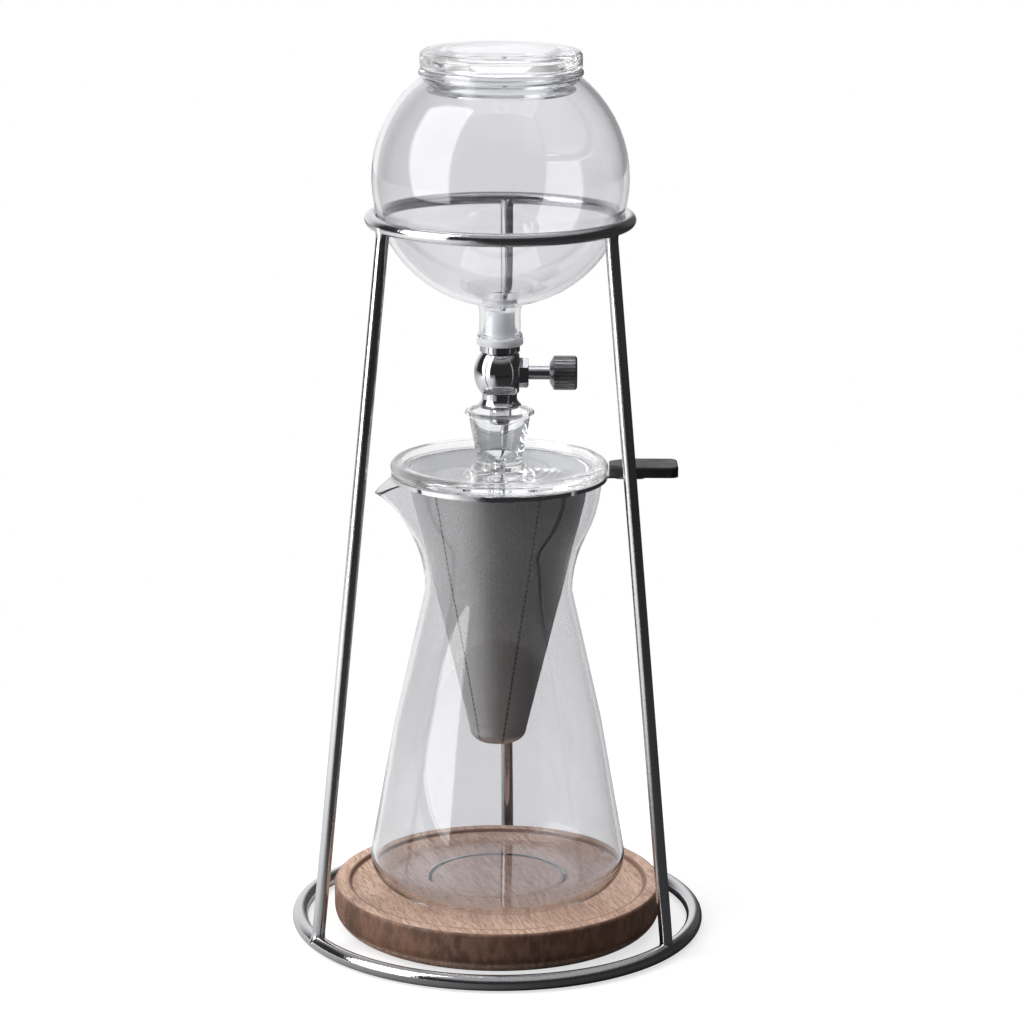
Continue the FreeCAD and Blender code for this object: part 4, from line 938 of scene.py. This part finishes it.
class TOWER_OT_filter(bpy.types.Operator):
    """Builds the etched cone and its closed end"""
    bl_idname = "drip_tower.filter"
    bl_label = "Filter"

    def execute(self, context):
        sizes = settings().filter
        gauge, bend = sizes.screen_gauge, sizes.cap_round
        high, low = top("filter_screen"), bottom("filter_screen")
        wide, narrow = widest("filter_screen"), widest("filter_cap")
        slope = (wide - narrow) / (high - low)
        cone = Section(narrow, low).line(wide, high)
        cone.line(wide - gauge, high).line(narrow - gauge, low)

        end = bottom("filter_cap")
        side = narrow - slope * (low - end - bend)
        lap = low - HAIRLINE
        cup = Section(0, end).line(side - bend, end).arc(side, end + bend, bend, "left")
        cup.line(narrow, lap).line(narrow - gauge, lap).line(side - gauge, end + bend)
        cup.arc(side - bend, end + gauge, bend - gauge, "right").line(0, end + gauge)

        for section, closed, name, node in ((cone, True, "Filter_cone", "filter_screen"),
                                            (cup, False, "Filter_end", "filter_cap")):
            mesh = spun(section, FINE_STEPS, closed)
            flatten_cone(mesh, math.atan(slope))
            finished(mesh, name, "screen", "filter", node)
        return {"FINISHED"}


# Drip lid

class TOWER_OT_drip_lid(bpy.types.Operator):
    """Builds the glass disc with its drip cup"""
    bl_idname = "drip_tower.drip_lid"
    bl_label = "Drip lid"

    def execute(self, context):
        sizes = settings().drip_lid
        seat = bottom("drip_lid") + sizes.nozzle_length + HAIRLINE
        rim_top = seat + sizes.rim_height
        cup_top = top("drip_lid")
        radius = widest("drip_lid")
        half = sizes.rim_height / 2
        inside = radius - sizes.rim_width
        plate_top = seat + sizes.plate_rise
        under = plate_top - sizes.plate
        foot, foot_up = sizes.cup_foot, seat + sizes.cup_foot_height
        lip, lip_up = sizes.cup_radius, cup_top - sizes.cup_lip_height
        rolled = sizes.cup_lip_round
        section = Section(sizes.bore, bottom("drip_lid")).line(sizes.nozzle, bottom("drip_lid"))
        section.line(sizes.nozzle, under).line(sizes.locate_radius, under)
        section.line(sizes.locate_radius + sizes.locate_slope, seat).line(radius - half, seat)
        section.arc(radius, seat + half, half, "left")
        section.arc(radius - half, rim_top, half, "left")
        section.line(inside + sizes.rim_slope, rim_top).line(inside, plate_top)
        section.line(foot + sizes.cup_foot_flare, plate_top)
        section.arc(foot, foot_up, sizes.cup_foot_hollow, "right")
        section.line(lip - sizes.cup_lip, lip_up)
        section.arc(lip, cup_top - rolled, sizes.cup_lip_hollow, "right")
        section.arc(lip - rolled, cup_top, rolled, "left")
        inner = foot - sizes.cup_wall
        taper = (lip - sizes.cup_lip - foot) / (lip_up - foot_up)
        section.line(inner + taper * (cup_top - foot_up), cup_top)
        section.line(inner, foot_up).line(sizes.bore, seat + sizes.cup_floor)
        mesh = spun(section)
        soften(mesh)
        finished(mesh, "Drip_lid", "pressed", "drip_lid", "drip_lid")
        return {"FINISHED"}


# Tank

class TOWER_OT_tank(bpy.types.Operator):
    """Builds the glass globe with its outlet tube"""
    bl_idname = "drip_tower.tank"
    bl_label = "Tank"

    def execute(self, context):
        sizes = settings().tank
        low, high = bottom("tank_globe"), top("tank_globe")
        radius = widest("tank_globe")
        wall = sizes.wall
        inner = radius - wall
        tube, bend = sizes.outlet, sizes.outlet_round
        centre = globe_centre()
        across = tube + bend
        reach = radius + bend
        drop = math.sqrt(reach ** 2 - across ** 2)
        neck_up = centre + math.sqrt(radius ** 2 - sizes.neck ** 2)
        mouth_up = centre + math.sqrt(inner ** 2 - sizes.mouth ** 2)
        bead = (high - neck_up) / 2 * BEAD_SPARE
        lip = tube + sizes.outlet_lip
        section = Section(tube - wall, low).line(lip, low)
        section.line(lip, low + sizes.outlet_lip_height - sizes.outlet_lip)
        section.line(tube, low + sizes.outlet_lip_height).line(tube, centre - drop)
        section.arc(across * radius / reach, centre - drop * radius / reach, bend, "right")
        section.arc(radius, centre, radius, "left").arc(sizes.neck, neck_up, radius, "left")
        section.arc(sizes.neck, high, bead, "left").line(sizes.mouth, high)
        section.line(sizes.mouth, mouth_up).arc(inner, centre, inner, "right")
        section.arc(across * inner / reach, centre - drop * inner / reach, inner, "right")
        section.arc(tube - wall, centre - drop, bend + wall, "left")
        mesh = spun(section)
        soften(mesh)
        finished(mesh, "Globe", "globe", "tank", "tank_globe")
        return {"FINISHED"}


def globe_centre():
    """Height of the middle of the globe, from where it sits in the top hoop."""
    sizes = settings().stand
    ring_up = top("top_ring") - sizes.frame_rod
    ring = widest("top_ring") - sizes.frame_rod
    reach = widest("tank_globe") + sizes.frame_rod + HAIRLINE
    return ring_up + math.sqrt(reach ** 2 - ring ** 2)


class TOWER_OT_tank_lid(bpy.types.Operator):
    """Builds the glass lid of the tank"""
    bl_idname = "drip_tower.tank_lid"
    bl_label = "Tank lid"

    def execute(self, context):
        sizes = settings().tank
        seat = top("tank_globe") + HAIRLINE
        low = bottom("tank_lid")
        radius = widest("tank_lid")
        rounding, lower = sizes.lid_round, sizes.lid_lower_round
        hollow = sizes.plug - sizes.plug_wall
        shoulder = radius - rounding
        edge = seat + sizes.lid_edge - HAIRLINE
        crown = (shoulder ** 2 + sizes.lid_dome ** 2) / (2 * sizes.lid_dome)
        roof = seat + sizes.plug_hollow
        section = Section(0, roof).line(hollow - sizes.plug_wall, roof)
        section.line(hollow, roof - sizes.plug_wall).line(hollow, low)
        section.line(sizes.plug, low).line(sizes.plug, seat).line(radius - lower, seat)
        section.arc(radius, seat + lower, lower, "left").line(radius, edge - rounding)
        section.arc(shoulder, edge, rounding, "left")
        section.arc(0, edge + sizes.lid_dome, crown, "left")
        mesh = spun(section, closed=False)
        soften(mesh, LID_EDGE_ROUND)
        finished(mesh, "Tank_lid", "pressed", "tank_lid", "tank_lid")
        return {"FINISHED"}


class TOWER_OT_small_parts(bpy.types.Operator):
    """Gives the solids that are shown as they are their finishes"""
    bl_idname = "drip_tower.small_parts"
    bl_label = "Small parts"

    def execute(self, context):
        for finish, nodes in KEPT_SOLIDS.items():
            for node in nodes:
                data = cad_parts[node].data
                data.materials.clear()
                data.materials.append(finish_for(finish))
        return {"FINISHED"}


# Stage

def softbox(name, place, facing, tilt, width, tall, radiance, mirrored):
    """A large even lamp; facing is the way its back looks, from the front to the right."""
    lamp = bpy.data.lights.new(name, "AREA")
    lamp.shape = "RECTANGLE"
    lamp.size, lamp.size_y = width, tall
    lamp.energy = radiance * math.pi * width * tall
    body = add_object(name, lamp)
    turn, rise = math.radians(facing), math.radians(tilt)
    behind = Vector((math.sin(turn) * math.cos(rise), -math.cos(turn) * math.cos(rise),
                     math.sin(rise)))
    body.location = place
    body.rotation_euler = (-behind).to_track_quat("-Z", "Y").to_euler()
    body.visible_camera = False
    body.visible_glossy = mirrored


def straight_look(tree, deepest):
    """1 for a look from the camera through glass, otherwise 0.

    Once it has also been mirrored, it may have passed only so many surfaces of glass.
    """
    path = add_node(tree, "LightPath").outputs
    seen = math_node(tree, "MAXIMUM", path["Is Camera Ray"], path["Is Transmission Ray"])
    scattered = math_node(tree, "GREATER_THAN", path["Diffuse Depth"], 0.5)
    mirrored = math_node(tree, "GREATER_THAN", path["Glossy Depth"], 0.5)
    deep = math_node(tree, "GREATER_THAN", path["Transmission Depth"], deepest + 0.5)
    inside = times(tree, mirrored, deep)
    bounced = math_node(tree, "MAXIMUM", scattered, inside)
    return times(tree, seen, math_node(tree, "SUBTRACT", 1, bounced))


def grey(level):
    return (level, level, level * 1.02, 1)


def studio_world():
    """White behind the tower; what it mirrors is a dark room, pale at the back and above."""
    world = bpy.data.worlds.new("Studio")
    bpy.context.scene.world = world
    world.use_nodes = True
    tree = world.node_tree
    tree.nodes.clear()
    way = split_place(tree, add_node(tree, "TexCoord").outputs["Generated"])
    behind = remap(tree, way["Y"], 0.5, 0.9)
    right = remap(tree, way["X"], -0.02, 0.3)
    above = remap(tree, way["Z"], 0.5, 0.85)
    back = mix_colours(tree, right, grey(PALE_BACK), grey(DARK_BACK))
    room = mix_colours(tree, behind, grey(FRONT_LIGHT), back)
    room = mix_colours(tree, above, room, grey(CEILING))
    background = add_node(tree, "Background")
    output = add_node(tree, "OutputWorld")
    inside = times(tree, straight_look(tree, WALLS), MIRRORED_WHITE)
    share = math_node(tree, "MAXIMUM", inside, straight_look(tree, 0))
    feed(tree, mix_colours(tree, share, room, (1, 1, 1, 1)), background.inputs["Color"])
    feed(tree, background.outputs["Background"], output.inputs["Surface"])


def pale_floor():
    """A pale table that runs out into the white background and keeps the tower's shadow. Mirrors
    and bounced light see painted light on its lamps' side and painted shade on the other.
    """
    colours = settings().colours
    mesh = bmesh.new()
    bmesh.ops.create_circle(mesh, cap_ends=True, segments=96, radius=FLOOR_RADIUS)
    move(mesh, Matrix.Translation((0, 0, -FLOOR_GAP)))
    data = bpy.data.meshes.new("Floor")
    mesh.to_mesh(data)
    mesh.free()
    floor = add_object("Floor", data)
    material, tree, shader = principled("Pale table", colours.floor)
    paint(tree, shader, roughness=0.6)
    shader.inputs["Specular IOR Level"].default_value = 0
    data.materials.append(material)
    straight = straight_look(tree, WALLS)
    # Painted light and shade for mirrors and bounced light: lit towards the lamps, dark on the
    # other side
    side = vector_math(tree, "DOT_PRODUCT", object_place(tree), LIT_SIDE)["Value"]
    lit = remap(tree, side, LIT_FROM, LIT_TO)
    mirrored = mix_colours(tree, lit, colours.shaded_floor, colours.lit_floor)
    face = mix_colours(tree, straight, mirrored, colours.floor)
    paint(tree, shader, base_color=face)
    reach = axis_distance(tree)
    fade = remap(tree, reach, WHITE_FROM, WHITE_TO, 0.5, 1)
    white = add_node(tree, "Emission")
    glow = remap(tree, reach, WHITE_FROM, WHITE_TO, NEAR_GLOW, 1)
    feed(tree, glow, white.inputs["Strength"])
    share = times(tree, fade, straight)
    mix_shaders(tree, share, shader.outputs["BSDF"], white.outputs["Emission"])


def front_camera():
    """A long lens in front, a little above the tower, looking slightly down."""
    lens = bpy.data.cameras.new("Camera")
    lens.sensor_width = SENSOR_WIDTH
    lens.lens = FOCAL_PIXELS * lens.sensor_width / IMAGE_WIDTH
    lens.dof.use_dof = False
    camera = add_object("Camera", lens)
    camera.location = CAMERA_PLACE
    aim = Matrix.Identity(3)
    for degrees, axis in ((-CAMERA_YAW, "Z"), (90 - CAMERA_PITCH, "X"), (CAMERA_ROLL, "Z")):
        aim = aim @ Matrix.Rotation(math.radians(degrees), 3, axis)
    camera.rotation_euler = aim.to_euler()
    bpy.context.scene.camera = camera


class TOWER_OT_stage(bpy.types.Operator):
    """Sets up the camera, the lamps, the pale table and the white background"""
    bl_idname = "drip_tower.stage"
    bl_label = "Stage"

    def execute(self, context):
        context.scene.view_settings.view_transform = "Standard"
        front_camera()
        studio_world()
        pale_floor()
        for name, lamp in LAMPS.items():
            softbox(name, *lamp)
        cycles = context.scene.cycles
        cycles.max_bounces = MAX_BOUNCES
        cycles.glossy_bounces = MIRROR_BOUNCES
        cycles.transmission_bounces = GLASS_BOUNCES
        return {"FINISHED"}


class TOWER_PT_panel(bpy.types.Panel):
    """Lists the sizes, the colours and the steps"""
    bl_label = "Drip Tower"
    bl_idname = "TOWER_PT_panel"
    bl_space_type = "VIEW_3D"
    bl_region_type = "UI"
    bl_category = "Drip Tower"

    def draw(self, context):
        layout = self.layout
        for step in STEPS:
            layout.operator(step.bl_idname)
        tower = context.scene.drip_tower
        for kind in TowerSettings.__annotations__:
            group = getattr(tower, kind)
            column = layout.column(align=True)
            for name in group.__annotations__:
                column.prop(group, name)


STEPS = (TOWER_OT_stand, TOWER_OT_coaster, TOWER_OT_carafe, TOWER_OT_filter, TOWER_OT_drip_lid,
         TOWER_OT_tank, TOWER_OT_tank_lid, TOWER_OT_small_parts, TOWER_OT_stage)
GROUPS = (StandSizes, CarafeSizes, FilterSizes, DripLidSizes, TankSizes, Colours, TowerSettings)


def register():
    for item in GROUPS + STEPS + (TOWER_PT_panel,):
        bpy.utils.register_class(item)
    bpy.types.Scene.drip_tower = bpy.props.PointerProperty(type=TowerSettings)


def unregister():
    del bpy.types.Scene.drip_tower
    for item in reversed(GROUPS + STEPS + (TOWER_PT_panel,)):
        bpy.utils.unregister_class(item)


def main():
    register()
    for step in STEPS:
        group, name = step.bl_idname.split(".")
        getattr(getattr(bpy.ops, group), name)()


if __name__ == "__main__":
    main()
